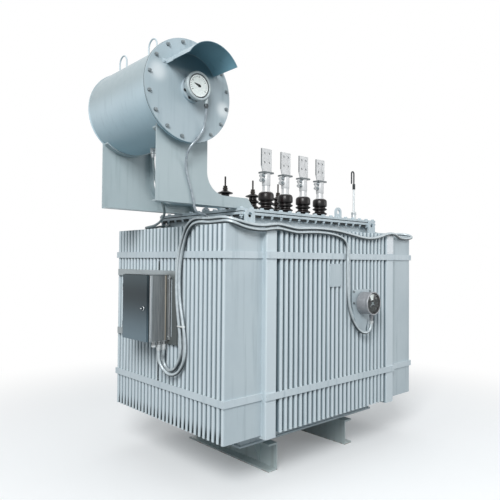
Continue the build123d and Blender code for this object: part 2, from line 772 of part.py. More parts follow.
def make_conduits():
    # Conduit from the cabinet along the front to the far end of the tank.
    first = cabinet_gland(0)
    end_conduit = [
        first, (-1005, -62, 790), (-999, -48, 742), (-993, -64, 702), (-989, -110, 677),
        (-988, -165, 697), (-988, -206, 748), (-988, -226, 815), (-988, -221, 900),
        (-991, -204, 1005), (-993, -186, 1125), (-993, -179, 1250), (-992, -186, 1355),
        (-988, -204, 1455), (-984, -236, 1530), (-986, -276, 1590), (-971, -327, 1629),
        (-949, -393, 1625), (-950, -468, 1622), (-951, -540, 1624), (-939, -600, 1621),
        (-900, -637, 1606), (-845, -651, 1592), (-782, -656, 1583), (-712, -661, 1582),
        (-645, -664, 1593), (-585, -664, 1598), (-510, -664, 1588), (-420, -664, 1578),
        (-322, -664, 1585), (-220, -664, 1589), (-115, -664, 1587), (-15, -664, 1582),
        (80, -664, 1571), (175, -664, 1558), (255, -664, 1547), (330, -664, 1543),
        (405, -664, 1547), (475, -664, 1560), (538, -664, 1577), (600, -668, 1591),
        (662, -670, 1588), (725, -655, 1574), (793, -635, 1562), (865, -631, 1559),
        (930, -634, 1564), (985, -630, 1577), (992, -584, 1597), (958, -537, 1604),
        (905, -500, 1600), (850, -462, 1600), (800, -424, 1602), (754, -400, 1618),
        (wall_x + end_gland_length, end_gland_y, end_gland_z)]
    conduit("end_conduit", end_conduit, conduit_radius)
    gland = Pos(wall_x + end_gland_length / 2, end_gland_y, end_gland_z) * Rot(0, 90, 0) * Cylinder(
        end_gland_radius, end_gland_length)
    save("end_gland", gland)
    # Conduit from the cabinet along the front and down to the thermometer.
    second = cabinet_gland(1)
    thermometer_conduit = [
        second, (-1041, -62, 788), (-1037, -60, 740), (-1027, -86, 695), (-1011, -137, 661),
        (-998, -197, 673), (-991, -241, 717), (-989, -267, 776), (-988, -275, 846),
        (-988, -263, 931), (-990, -241, 1026), (-990, -215, 1126), (-990, -205, 1231),
        (-990, -210, 1336), (-987, -228, 1430), (-984, -256, 1504), (-986, -292, 1559),
        (-984, -336, 1594), (-967, -386, 1606), (-951, -444, 1599), (-952, -505, 1599),
        (-953, -560, 1600), (-948, -614, 1602), (-916, -645, 1589), (-864, -653, 1570),
        (-795, -658, 1559), (-716, -662, 1557), (-646, -664, 1568), (-586, -664, 1573),
        (-511, -664, 1563), (-421, -664, 1553), (-323, -664, 1560), (-221, -664, 1564),
        (-120, -664, 1561), (-30, -664, 1552), (42, -666, 1531), (78, -670, 1490),
        (84, -673, 1430), (79, -674, 1345), (83, -674, 1245), (87, -675, 1150), (96, -676, 1070),
        (116, -678, 1000), (150, -682, 940), (190, -687, 897), (238, -693, 873),
        (286, -700, 878), (312, -705.5, 915), thermo_gland()]
    conduit("thermometer_conduit", thermometer_conduit, conduit_radius)
    # Conduit from the level gauge, down the drum cover and the support, to the tank.
    gauge = gauge_gland()
    gauge_conduit = [
        gauge, (-1052, -543, 2218), (-1040, -522, 2172), (-1042, -506, 2125), (-1064, -501, 2082),
        (-1100, -501, 2044), (-1126, -485, 2004), (-1122, -456, 1962), (-1112, -435, 1918),
        (-1101, -433, 1866), (-1084, -433, 1818), (-1066, -433, 1768), (-1054, -434, 1715),
        (-1042, -431, 1672), (-1008, -416, 1650), (-952, -394, 1654), (-890, -372, 1632),
        (-822, -350, 1613), (-752, -338, 1622), (-wall_x - end_gland_length, left_gland_y, left_gland_z)]
    conduit("gauge_conduit", gauge_conduit, thin_conduit_radius)
    gland = Pos(-wall_x - end_gland_length / 2, left_gland_y, left_gland_z) * Rot(0, 90, 0) * Cylinder(
        end_gland_radius, end_gland_length)
    save("left_gland", gland)
    # Drain hose from the bottom of the drum across the left fins.
    drain_z = drum_z - drum_radius - drain_boss_length
    hose = [
        (drum_x, drain_y, drain_z), (drum_x, drain_y, 1985), (-1112, -98, 1915),
        (-1090, -92, 1845), (-1060, -84, 1780), (-1022, -66, 1725), (-990, -34, 1682),
        (-972, 14, 1648), (-966, 70, 1621), (-962, 130, 1606), (-958, 192, 1601),
        (-948, 256, 1599), (-922, 314, 1599), (-874, 352, 1600), (-812, 370, 1610),
        (-756, 376, 1622), (-wall_x - end_gland_length, drain_gland_y, left_gland_z)]
    conduit("drain_hose", hose, hose_radius)
    boss = post(drum_x, drain_y, drain_z, drain_boss_radius, drain_boss_length + drum_radius)
    boss -= disc_y(drum_x, drain_y - 2 * drain_boss_radius, drain_y + 2 * drain_boss_radius,
                   drum_z, drum_radius)
    gland = Pos(-wall_x - end_gland_length / 2, drain_gland_y, left_gland_z) * Rot(0, 90, 0) * Cylinder(
        end_gland_radius, end_gland_length)
    save("drain_fittings", boss, gland)


make_tank()
make_fin_banks()
make_braces()
make_base()
make_lugs()
make_drum()
make_supports()
make_eyes()
make_gauge()
make_lv_bushings()
make_hv_bushings()
make_filler_pipe()
make_cabinet()
make_thermometer()
make_oil_pipe()
make_conduits()
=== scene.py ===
import bpy
import bmesh
import math
from mathutils import Matrix, Vector


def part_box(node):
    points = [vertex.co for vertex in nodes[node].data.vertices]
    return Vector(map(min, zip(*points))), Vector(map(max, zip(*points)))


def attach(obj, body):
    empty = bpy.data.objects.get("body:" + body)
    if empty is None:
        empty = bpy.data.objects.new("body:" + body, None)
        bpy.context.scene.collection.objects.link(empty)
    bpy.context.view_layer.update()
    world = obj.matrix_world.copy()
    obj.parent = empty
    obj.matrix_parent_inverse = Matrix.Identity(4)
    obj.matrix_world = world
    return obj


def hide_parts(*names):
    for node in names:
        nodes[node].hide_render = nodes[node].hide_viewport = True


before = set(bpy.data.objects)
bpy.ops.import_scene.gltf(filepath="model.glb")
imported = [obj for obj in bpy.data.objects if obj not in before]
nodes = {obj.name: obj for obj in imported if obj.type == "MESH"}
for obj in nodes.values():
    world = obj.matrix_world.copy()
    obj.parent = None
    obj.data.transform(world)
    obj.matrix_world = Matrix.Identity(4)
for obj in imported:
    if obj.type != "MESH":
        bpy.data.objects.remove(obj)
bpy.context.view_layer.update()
print("frame loaded:", len(nodes), "nodes")

# Camera at the photograph's viewpoint. Metres and radians; the lens and the sensor are in mm.
cameraSetup = {"place": (-2.8293, -2.8891, 1.3733), "yaw": 0.836, "pitch": 0.0213, "roll": 0.0081,
               "lens": 37.61, "sensor": 36.0, "farthest": 60.0}


def aimCamera(setup):
    level = math.cos(setup["pitch"])
    forward = Vector((math.cos(setup["yaw"]) * level, math.sin(setup["yaw"]) * level,
                      math.sin(setup["pitch"])))
    side = Vector((math.sin(setup["yaw"]), -math.cos(setup["yaw"]), 0))
    up = side.cross(forward)
    tiltedSide = side * math.cos(setup["roll"]) + up * math.sin(setup["roll"])
    tiltedUp = up * math.cos(setup["roll"]) - side * math.sin(setup["roll"])
    turn = Matrix((tiltedSide, tiltedUp, -forward)).transposed().to_4x4()
    data = bpy.data.cameras.new("viewCamera")
    data.lens = setup["lens"]
    data.sensor_width = setup["sensor"]
    data.clip_end = setup["farthest"]
    camera = bpy.data.objects.new("viewCamera", data)
    camera.matrix_world = Matrix.Translation(setup["place"]) @ turn
    bpy.context.scene.collection.objects.link(camera)
    bpy.context.scene.camera = camera


aimCamera(cameraSetup)
print("camera placed")


# Helpers for colours and nodes

def hexColour(code):
    # sRGB hex to linear
    parts = [int(code[i:i + 2], 16) / 255 for i in (1, 3, 5)]
    linear = [p / 12.92 if p <= 0.04045 else ((p + 0.055) / 1.055) ** 2.4 for p in parts]
    return (*linear, 1.0)


def addNode(tree, kind, settings=None, **inputs):
    # Adds one node. An input is a value, a hex colour or another node's output. Underscores stand for
    # spaces, and input0, input1 and so on name a socket by its place.
    node = tree.nodes.new(kind)
    for key, value in (settings or {}).items():
        setattr(node, key, value)
    for key, value in inputs.items():
        name = key.replace("_", " ")
        socket = node.inputs[int(name[5:])] if name.startswith("input") else node.inputs[name]
        if isinstance(value, bpy.types.NodeSocket):
            tree.links.new(value, socket)
        else:
            socket.default_value = hexColour(value) if isinstance(value, str) else value
    return node


def newMaterial(name, **shader):
    # Principled shader with constants on its own sockets
    material = bpy.data.materials.new(name)
    material.use_nodes = True
    tree = material.node_tree
    tree.nodes.clear()
    surface = addNode(tree, "ShaderNodeBsdfPrincipled", **shader)
    addNode(tree, "ShaderNodeOutputMaterial", Surface=surface.outputs[0])
    return material, tree, surface


def axesOf(tree, source="ShaderNodeTexCoord", output="Object"):
    # X, Y and Z of the place on the object in metres, or of the normal.
    vector = addNode(tree, source).outputs[output]
    return addNode(tree, "ShaderNodeSeparateXYZ", Vector=vector).outputs


def grainOf(tree, size, detail=3.0, rough=0.55, stretch=(1, 1, 1)):
    # Cloudy pattern on Object coordinates, whose grain is about size mm across.
    place = addNode(tree, "ShaderNodeTexCoord").outputs["Object"]
    stretched = addNode(tree, "ShaderNodeMapping", Vector=place, Scale=stretch).outputs[0]
    return addNode(tree, "ShaderNodeTexNoise", Vector=stretched, Scale=1000 / size, Detail=detail,
                   Roughness=rough).outputs["Fac"]


def maskOf(tree, *spans):
    # Product of soft steps. Each span is a value, where its step is 0 and where it is 1.
    mask = 1.0
    for value, none, full in spans:
        step = addNode(tree, "ShaderNodeMapRange", {"interpolation_type": "SMOOTHSTEP"}, Value=value,
                       From_Min=none, From_Max=full).outputs[0]
        mask = addNode(tree, "ShaderNodeMath", {"operation": "MULTIPLY"}, input0=mask,
                       input1=step).outputs[0]
    return mask


def blendBetween(tree, factor, low, high, start=0.0, end=1.0):
    # Soft change between two colours as the factor goes from start to end.
    share = maskOf(tree, (factor, start, end))
    return addNode(tree, "ShaderNodeMix", {"data_type": "RGBA"}, Factor=share, input6=low,
                   input7=high).outputs[2]


def dressSurface(tree, surface, relief, depth, strength, colour=None, worn=None, rough=None,
                 wornSpan=(0.3, 0.7)):
    # Ties a relief in metres to the shader, and a colour and a range of roughness where they are given.
    bump = addNode(tree, "ShaderNodeBump", Height=relief, Distance=depth, Strength=strength)
    tree.links.new(bump.outputs[0], surface.inputs["Normal"])
    if colour:
        tree.links.new(colour, surface.inputs["Base Color"])
    if rough:
        span = addNode(tree, "ShaderNodeMapRange", Value=worn, From_Min=wornSpan[0], From_Max=wornSpan[1],
                       To_Min=rough[0], To_Max=rough[1])
        tree.links.new(span.outputs[0], surface.inputs["Roughness"])


# Helpers for meshes, in millimetres until a piece is finished

def growIsland(start):
    # Every vertex joined to the ones given
    seen, queue = set(start), list(start)
    while queue:
        for edge in queue.pop().link_edges:
            for vertex in edge.verts:
                if vertex not in seen:
                    seen.add(vertex)
                    queue.append(vertex)
    return list(seen)


def spinProfile(bm, outline, steps, place=Matrix()):
    # Turns (radius, height) points round Z, then moves the result by place.
    points = [bm.verts.new((r, 0, z)) for r, z in outline]
    edges = [bm.edges.new(pair) for pair in zip(points, points[1:])]
    made = bmesh.ops.spin(bm, geom=points + edges, cent=(0, 0, 0), axis=(0, 0, 1), angle=math.tau,
                          steps=steps, use_merge=True)
    last = [v for v in made["geom_last"] if isinstance(v, bmesh.types.BMVert)]
    island = growIsland(last + points)
    bmesh.ops.remove_doubles(bm, verts=island, dist=0.01)
    island = growIsland([v for v in island if v.is_valid])
    bmesh.ops.transform(bm, matrix=place, verts=island)


def addPrism(bm, sides, radius, height, place, topRadius=None):
    # Prism or cylinder that stands on its place's origin, along its Z.
    top = radius if topRadius is None else topRadius
    matrix = place @ Matrix.Translation((0, 0, height / 2))
    bmesh.ops.create_cone(bm, cap_ends=True, segments=sides, radius1=radius, radius2=top, depth=height,
                          matrix=matrix)


def addBlock(bm, corner, opposite, place=Matrix()):
    # Box between two opposite corners, moved by place.
    size = [abs(b - a) for a, b in zip(corner, opposite)]
    middle = [(a + b) / 2 for a, b in zip(corner, opposite)]
    matrix = place @ Matrix.Translation(middle) @ Matrix.Diagonal((*size, 1))
    bmesh.ops.create_cube(bm, size=1, matrix=matrix)


def raiseFaces(bm, faces, height):
    # Extrudes flat faces along Z; returns the new vertices.
    made = bmesh.ops.extrude_face_region(bm, geom=faces)["geom"]
    lifted = [g for g in made if isinstance(g, bmesh.types.BMVert)]
    bmesh.ops.translate(bm, verts=lifted, vec=(0, 0, height))
    return lifted


def addPlate(bm, outline, thickness, place, holes=(), sides=16):
    # Flat plate from (x, y) points, with round (x, y, radius) holes.
    turns = [math.tau * i / sides for i in range(sides)]
    loops = [outline] + [[(x + radius * math.cos(turn), y + radius * math.sin(turn)) for turn in turns]
                         for x, y, radius in holes]
    edges = []
    for loop in loops:
        ring = [bm.verts.new((x, y, 0)) for x, y in loop]
        edges += [bm.edges.new(pair) for pair in zip(ring, ring[1:] + ring[:1])]
    made = bmesh.ops.triangle_fill(bm, use_beauty=True, use_dissolve=True, edges=edges)
    faces = [g for g in made["geom"] if isinstance(g, bmesh.types.BMFace)]
    lifted = raiseFaces(bm, faces, thickness)
    island = list({v for e in edges for v in e.verts} | set(lifted))
    bmesh.ops.transform(bm, matrix=place, verts=island)


def addPointer(bm, outline, thickness, place):
    # Small solid plate from (x, y) points, moved by place.
    ring = [bm.verts.new((x, y, 0)) for x, y in outline]
    lifted = raiseFaces(bm, [bm.faces.new(ring)], thickness)
    bmesh.ops.transform(bm, matrix=place, verts=ring + lifted)


def softenEdges(bm, width, steps=2, limit=28.0):
    # Rounds every edge that is sharper than the limit in degrees.
    sharp = [e for e in bm.edges if e.is_manifold and e.calc_face_angle(0) > math.radians(limit)]
    bmesh.ops.bevel(bm, geom=sharp, offset=width, offset_type="OFFSET", affect="EDGES", segments=steps,
                    profile=0.5, material=-1, clamp_overlap=True)


def stampCopies(bm, pattern, places):
    # Copies one small mesh to each place.
    for place in places:
        copy = bpy.data.meshes.new("stamp")
        pattern.to_mesh(copy)
        copy.transform(place)
        bm.from_mesh(copy)
        bpy.data.meshes.remove(copy)


def finishPiece(name, bm, material, replaced=(), smoothTo=32.0, body="transformer"):
    # Closes the mesh, turns millimetres to metres and lets the piece ride its body.
    bmesh.ops.remove_doubles(bm, verts=bm.verts, dist=0.005)
    bmesh.ops.recalc_face_normals(bm, faces=bm.faces)
    bmesh.ops.scale(bm, vec=(0.001, 0.001, 0.001), verts=bm.verts)
    mesh = bpy.data.meshes.new(name)
    bm.to_mesh(mesh)
    bm.free()
    mesh.shade_smooth()
    mesh.set_sharp_from_angle(angle=math.radians(smoothTo))
    piece = bpy.data.objects.new(name, mesh)
    bpy.context.scene.collection.objects.link(piece)
    for one in material if isinstance(material, list) else [material]:
        mesh.materials.append(one)
    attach(piece, body)
    if replaced:
        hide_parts(*replaced)


def turnedPiece(name, outline, steps, place, material, smoothTo=32.0):
    # A whole piece from one turned outline
    bm = bmesh.new()
    spinProfile(bm, outline, steps, place)
    finishPiece(name, bm, material, smoothTo=smoothTo)


def blockPiece(name, blocks, material, soft=0.0, steps=1):
    # A whole piece from blocks, each given by two opposite corners
    bm = bmesh.new()
    for corner, opposite in blocks:
        addBlock(bm, corner, opposite)
    if soft:
        softenEdges(bm, soft, steps)
    finishPiece(name, bm, material)


def at(x, y, z):
    return Matrix.Translation((x, y, z))


def turnedBy(degrees):
    # Turn about Z
    return Matrix.Rotation(math.radians(degrees), 4, "Z")


faceFront = Matrix.Rotation(math.pi / 2, 4, "X")   # Z turned to -Y
faceBack = Matrix.Rotation(-math.pi / 2, 4, "X")   # Z turned to +Y
faceLeft = Matrix.Rotation(-math.pi / 2, 4, "Y")   # Z turned to -X
faceDown = Matrix.Rotation(math.pi, 4, "X")        # Z turned to -Z


# Enamel on the sheet steel: colours, and the grain, orange peel and rain streaks in mm

paintLook = {"light": "#B9C6CC", "deep": "#AFBDC4", "stain": "#A2B1B8", "dustAndTopShade": "#B8C3C6", "shade": "#A6BCC6",
             "grain": 420, "peel": 7.0, "streak": 30.0, "speck": 30.0, "cloud": (0.3, 0.7),
             "runs": (0.5, 0.78), "turned": (-0.95, -0.15), "settled": (0.3, 0.75), "relief": 0.0003,
             "bump": 0.35, "rough": (0.36, 0.5), "coat": 0.12, "coatRough": 0.3}
# Lit and shaded copies of the one enamel, with painted light and painted shade in their tints: the drum, its
# cover and the hood, the rails, the supports and the bars
drumLook = {**paintLook, "light": "#C0D2DB", "deep": "#B7CAD3", "stain": "#ACBFC8", "dustAndTopShade": "#A2B0B7",
            "shade": "#A2C3D1"}
coverLook = {**drumLook, "light": "#A6B5BC", "deep": "#9EAEB5", "stain": "#94A5AD"}
railLook = {**paintLook, "light": "#A9B1B3", "deep": "#9AA3A6", "stain": "#8A9396", "dustAndTopShade": "#AAB3B4"}
supportLook = {**paintLook, "light": "#A9B7BB", "deep": "#A1B0B4", "stain": "#98A8AC", "dustAndTopShade": "#B4C0C2",
               "shade": "#9AACB2"}
barLook = {**paintLook, "light": "#C6D2D8", "deep": "#BCC9D0", "stain": "#AEBDC5", "dustAndTopShade": "#CBD4D6"}
skidLook = {**paintLook, "light": "#BFCBCC", "deep": "#B3C0C1", "stain": "#9FAAA8", "dustAndTopShade": "#B5BFBE",
            "streak": 60.0, "rust": "#877565", "wearHigh": 0.016, "worn": (0.36, 0.62)}

# Painted shade between the fins with a painted highlight at their edges, and soft patches of painted shade
# and painted highlight on the paint, in metres
gapLook = {"edge": "#C9D5DB", "paintedShade": "#788B94", "foot": "#2C373C", "rim": 0.004, "skin": 0.001,
           "start": 0.002, "reach": 0.021, "footReach": 0.009, "footSpan": (0.44, 0.34),
           "upright": (0.7, 0.4)}
coverShadowAndHighlights = [{"centre": (-1.118, -0.487, 2.354), "radius": 0.189, "fade": 0.012, "low": 2.405,
               "high": 2.47, "colour": "#4B6C79"},   # painted shadow under the hood
              {"centre": (-1.335, -0.487, 2.395), "radius": 0.085, "fade": 0.085, "low": 0.0,
               "high": 0.1, "colour": "#C9D2D6"},    # painted highlight on the cover's left
              {"centre": (-0.885, -0.487, 2.27), "radius": 0.075, "fade": 0.075, "low": 0.0,
               "high": 0.1, "colour": "#D6DEE1"}]    # and on its right
drumCrownShade = [{"centre": (-1.125, -0.125, 2.6), "radius": 0.9, "fade": 0.2, "low": 2.22, "high": 2.43,
              "colour": "#95A4A9"}]   # painted shade along the crown
finZones = [{"centre": (-0.967, 0.1, 1.62), "radius": 0.62, "fade": 0.25, "low": 1.36, "high": 1.54,
             "colour": "#9DABB0"}]    # shade below the drum
railShadowZones = [{"centre": (-0.97, -0.13, 0.98), "radius": 0.36, "fade": 0.1, "low": 0.0, "high": 0.1,
              "colour": "#565C5C"}]   # painted shadow behind the cabinet
finBanks = {"fin_bank_front": ("Y", "X"), "fin_bank_left": ("X", "Y")}


def finGap(name):
    # Where a bank's fins end, and how far it spreads to each side.
    low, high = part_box(name)
    into, along = finBanks[name]
    reach = {axis: max(abs(low[index]), abs(high[index])) for index, axis in enumerate("XYZ")}
    return {"into": into, "along": along, "tip": reach[into], "flank": reach[along]}


def darkenGaps(tree, colour, gap):
    # Painted shade between the fins: a painted highlight at their edges, shade further in, and darker painted
    # shade at the feet of the side banks.
    place = axesOf(tree)
    upward = axesOf(tree, "ShaderNodeNewGeometry", "Normal")["Z"]
    into, along, upright = [
        addNode(tree, "ShaderNodeMath", {"operation": "ABSOLUTE"}, input0=value).outputs[0]
        for value in (place[gap["into"]], place[gap["along"]], upward)]
    tip, flank, look = gap["tip"], gap["flank"], gapLook
    walls = ((along, flank - look["skin"], flank - look["rim"]),   # outer flanks get no painted shade
             (upright, *look["upright"]))
    # painted highlight along the fins' edges
    edge = maskOf(tree, (into, tip - look["rim"], tip - look["skin"]))
    colour = blendBetween(tree, edge, colour, look["edge"])
    between = maskOf(tree, (into, tip - look["start"], tip - look["reach"]), *walls)
    colour = blendBetween(tree, between, colour, look["paintedShade"])
    if gap["into"] == "Y":
        return colour
    footShade = maskOf(tree, (into, tip - look["skin"], tip - look["footReach"]), *walls,
                  (place["Z"], *look["footSpan"]))   # darkest painted shade at the feet
    return blendBetween(tree, footShade, colour, look["foot"])


def shadeZone(tree, colour, zone):
    # A soft round patch above a level: painted shade where its colour is darker, painted highlight where it
    # is lighter.
    place = addNode(tree, "ShaderNodeTexCoord").outputs["Object"]
    away = addNode(tree, "ShaderNodeVectorMath", {"operation": "DISTANCE"}, input0=place,
                   input1=zone["centre"]).outputs["Value"]
    height = addNode(tree, "ShaderNodeSeparateXYZ", Vector=place).outputs["Z"]
    patch = maskOf(tree, (away, zone["radius"] + gapLook["rim"], zone["radius"] - zone["fade"]),
                   (height, zone["low"], zone["high"]))
    return blendBetween(tree, patch, colour, zone["colour"])


def makePaint(name, look, gap=None, zones=()):
    # Sprayed alkyd enamel on sheet steel: satin, faint orange peel, dust on what faces up, painted shade on
    # what faces down.
    material, tree, surface = newMaterial(name, IOR=1.5, Coat_Weight=look["coat"],
                                          Coat_Roughness=look["coatRough"])
    cloud = grainOf(tree, look["grain"], 4.0)
    colour = blendBetween(tree, cloud, look["deep"], look["light"], *look["cloud"])
    run = grainOf(tree, look["streak"], 4.0, stretch=(1, 1, 0.05))
    colour = blendBetween(tree, run, colour, look["stain"], *look["runs"])   # rain runs down the walls
    upward = axesOf(tree, "ShaderNodeNewGeometry", "Normal")["Z"]
    colour = blendBetween(tree, upward, look["shade"], colour, *look["turned"])   # painted shade underneath, cooler in colour
    speck = grainOf(tree, look["speck"], 3.0, 0.6)
    settled = addNode(tree, "ShaderNodeMath", {"operation": "MULTIPLY"}, input0=upward, input1=speck)
    # dust on what faces up; on the drum its darker colour is painted shade on the top
    colour = blendBetween(tree, settled.outputs[0], colour, look["dustAndTopShade"], *look["settled"])
    # soft patches of painted shade and painted highlight
    for zone in zones:
        colour = shadeZone(tree, colour, zone)
    # painted shade between the fins
    if gap:
        colour = darkenGaps(tree, colour, gap)
    if "rust" in look:
        low = maskOf(tree, (axesOf(tree)["Z"], look["wearHigh"], 0.0))
        chipped = addNode(tree, "ShaderNodeMath", {"operation": "MULTIPLY"}, input0=low, input1=speck)
        colour = blendBetween(tree, chipped.outputs[0], colour, look["rust"], *look["worn"])   # worn feet
    dressSurface(tree, surface, grainOf(tree, look["peel"], 2.0), look["relief"], look["bump"], colour,
                 speck, look["rough"])
    return material


underShadeLook = {"left": "#446A79", "right": "#76A3B4", "edges": (-1.22, -0.97), "stain": "#3E616E",
              "grain": 60.0, "patches": (0.55, 0.9)}


def makeHoodUnderShade():
    # The hood's underside: the same enamel, matt and blue-green, dark as painted shade and darker towards the
    # left as painted shade too.
    look = underShadeLook
    material, tree, surface = newMaterial("hoodUndersideShade", Roughness=0.6, IOR=1.5)
    # painted shade, darker towards the left
    base = blendBetween(tree, axesOf(tree)["X"], look["left"], look["right"], *look["edges"])
    colour = blendBetween(tree, grainOf(tree, look["grain"], 4.0), base, look["stain"], *look["patches"])
    dressSurface(tree, surface, grainOf(tree, paintLook["peel"], 2.0), paintLook["relief"],
                 paintLook["bump"], colour)
    return material


glazeLook = {"deep": "#0B090A", "light": "#1A1213", "grain": 34.0, "cloud": (0.35, 0.75),
             "relief": 0.0006, "bump": 0.3}


def makePorcelain():
    # Brown-glazed electrical porcelain: nearly black, glassy coat, slow waves in the glaze.
    look = glazeLook
    material, tree, surface = newMaterial("brownGlazedPorcelain", Roughness=0.35, IOR=1.5, Coat_Weight=0.12,
                                          Coat_Roughness=0.12, Specular_IOR_Level=0.3)
    cloud = grainOf(tree, look["grain"])
    colour = blendBetween(tree, cloud, look["deep"], look["light"], *look["cloud"])
    dressSurface(tree, surface, cloud, look["relief"], look["bump"], colour)
    return material


# How far the grain moves the roughness down and up, and how strongly it shows as relief
metalFeel = {"spread": (-0.06, 0.08), "bump": 0.3}
plasticFeel = {"spread": (-0.05, 0.07), "bump": 0.35, "cloud": (0.35, 0.65)}


def makeMetal(name, low, high, grain, rough, metallic=1.0, stretch=(1, 1, 1), relief=0.0002,
              ranges=(0.35, 0.65)):
    # Bare or plated metal; the grain in mm follows how it was worked.
    material, tree, surface = newMaterial(name, Metallic=metallic)
    cloud = grainOf(tree, grain, 4.0, 0.6, stretch)
    colour = blendBetween(tree, cloud, low, high, *ranges)
    dressSurface(tree, surface, cloud, relief, metalFeel["bump"], colour, cloud,
                 [rough + part for part in metalFeel["spread"]])
    return material


def makePlastic(name, low, high, grain, rough, relief=0.0002):
    # Moulded or sheet non-metal: even colour with a faint mottle.
    material, tree, surface = newMaterial(name, IOR=1.5)
    cloud = grainOf(tree, grain)
    colour = blendBetween(tree, cloud, low, high, *plasticFeel["cloud"])
    dressSurface(tree, surface, cloud, relief, plasticFeel["bump"], colour, cloud,
                 [rough + part for part in plasticFeel["spread"]])
    return material


doorLook = {"foot": "#687A84", "middle": "#323C41", "top": "#465257", "lower": (0.87, 1.16),
            "upper": (1.16, 1.29), "streak": "#4A565D", "grain": 3.0, "stretch": (1, 1, 0.03),
            "lines": (0.55, 1.0), "relief": 0.0001, "bump": 0.25, "rough": (0.36, 0.5)}


def makeDoorSheet():
    # Brushed stainless door in shade: dark, a little lighter towards its foot.
    look = doorLook
    material, tree, surface = newMaterial("shadedStainlessSheet", Metallic=0.75)
    height = axesOf(tree)["Z"]
    base = blendBetween(tree, height, look["foot"], look["middle"], *look["lower"])
    base = blendBetween(tree, height, base, look["top"], *look["upper"])
    streak = grainOf(tree, look["grain"], 4.0, 0.6, look["stretch"])
    colour = blendBetween(tree, streak, base, look["streak"], *look["lines"])
    dressSurface(tree, surface, streak, look["relief"], look["bump"], colour, streak, look["rough"])
    return material


conduitLook = {"deep": "#AEB9BE", "light": "#BCC6CA", "grain": 26.0, "cloud": (0.3, 0.7),
               "paintedShade": "#323C41", "shadeSide": (-0.04, 0.55), "relief": 0.0001, "bump": 0.2,
               "rough": (0.28, 0.38), "near": (("X", -0.9, -0.98), ("Y", -0.56, -0.64))}


def makeConduitSkin():
    # Zinc-coated tube: pale and smooth, with painted shade underneath and on the side that faces the fins.
    look = conduitLook
    material, tree, surface = newMaterial("galvanisedConduit", Metallic=0.25)
    cloud = grainOf(tree, look["grain"], 2.0)
    colour = blendBetween(tree, cloud, look["deep"], look["light"], *look["cloud"])
    facing = axesOf(tree, "ShaderNodeNewGeometry", "Normal")
    place = axesOf(tree)
    shadeSide = addNode(tree, "ShaderNodeMath", {"operation": "MULTIPLY"}, input0=facing["Z"],
                     input1=-1.0).outputs[0]
    for axis, clear, close in look["near"]:
        beside = maskOf(tree, (place[axis], clear, close))
        tankward = addNode(tree, "ShaderNodeMath", {"operation": "MULTIPLY"}, input0=facing[axis],
                           input1=beside).outputs[0]
        shadeSide = addNode(tree, "ShaderNodeMath", {"operation": "MAXIMUM"}, input0=shadeSide,
                         input1=tankward).outputs[0]
    # painted shade under the tube and on its side towards the tank
    colour = blendBetween(tree, shadeSide, colour, look["paintedShade"], *look["shadeSide"])
    dressSurface(tree, surface, cloud, look["relief"], look["bump"], colour, cloud, look["rough"])
    return material


def makeGlass():
    # Float glass over a dial: clear, with a sharp reflection.
    material, tree, surface = newMaterial("dialGlass", Base_Color="#F4F8F8", Roughness=0.05, IOR=1.2,
                                          Transmission_Weight=1.0)
    dressSurface(tree, surface, grainOf(tree, 40.0, 1.0), 0.0002, 0.1)
    return material


paint = makePaint("satinAlkydEnamel", paintLook)
drumPaint = makePaint("satinEnamelDrum", drumLook, zones=drumCrownShade)
coverPaint = makePaint("satinEnamelDrumCover", coverLook, zones=coverShadowAndHighlights)
hoodPaint = makePaint("satinEnamelHood", coverLook)
railPaint = makePaint("satinEnamelRails", railLook, zones=railShadowZones)
supportPaint = makePaint("satinEnamelSupports", supportLook)
barPaint = makePaint("satinEnamelBars", barLook)
skidPaint = makePaint("satinEnamelSkids", skidLook)
longFinPaint = makePaint("satinEnamelLongFins", paintLook, finGap("fin_bank_front"))
sideFinPaint = makePaint("satinEnamelSideFins", paintLook, finGap("fin_bank_left"), finZones)
hoodUnderShade = makeHoodUnderShade()
porcelain = makePorcelain()
doorSheet = makeDoorSheet()
conduitSkin = makeConduitSkin()
glass = makeGlass()
# dull silver bar, drawn lengthwise
tinnedCopper = makeMetal("tinnedCopperBar", "#C3C5C6", "#CCCDCE", 16.0, 0.45, 0.25, (1, 1, 0.3), 0.00003,
                         (0.2, 0.8))
# cut edges, where the tin is worn off
shearedEdge = makeMetal("shearedCopperEdge", "#5F6567", "#747A7C", 6.0, 0.5, 0.4)
# brown oxide on a turned nut
darkBrass = makeMetal("tarnishedBrass", "#2A2725", "#433E39", 8.0, 0.42, 0.6)
# vertical brush lines, drawn coarse so that they show
stainless = makeMetal("brushedStainlessSheet", "#7D8284", "#A2A5A6", 3.0, 0.36, 0.6, (1, 1, 0.02), 0.0001,
                      (0.25, 0.75))
# folded edge, lighter than the sheet as painted highlight
brightSteel = makeMetal("stainlessEdgeHighlight", "#B4B9BC", "#C9CDCF", 5.0, 0.3, 0.5, (1, 1, 0.05), 0.00005)
# heat-tinted weld seam
warmSteel = makeMetal("strawStainlessEdge", "#A89F90", "#BFB7A8", 5.0, 0.34, 0.5, (1, 1, 0.05), 0.00005)
# grey lacquer with a slight sheen of metal
housingGrey = makeMetal("diecastHousing", "#8F9296", "#A4A6AA", 9.0, 0.42, 0.3)
# dark metal; on the gauge's inner ring and base bolts its darkness is painted shade
darkBezel = makeMetal("darkBezelMetal", "#33383B", "#4B5154", 5.0, 0.38, 0.6)
# barrel-plated fasteners, spangled
zincPlate = makeMetal("dullZincPlate", "#6F787C", "#9BA3A6", 6.0, 0.45, 0.7)
# hot-dip spangle, pale
galvanised = makeMetal("galvanisedPipe", "#B0B6B9", "#C6CBCC", 14.0, 0.42, 0.35)
# thin zinc, weathered in the open air
thinConduitSkin = makeMetal("dullZincConduit", "#87929A", "#9DA7AD", 20.0, 0.34, 0.45, relief=0.00004)
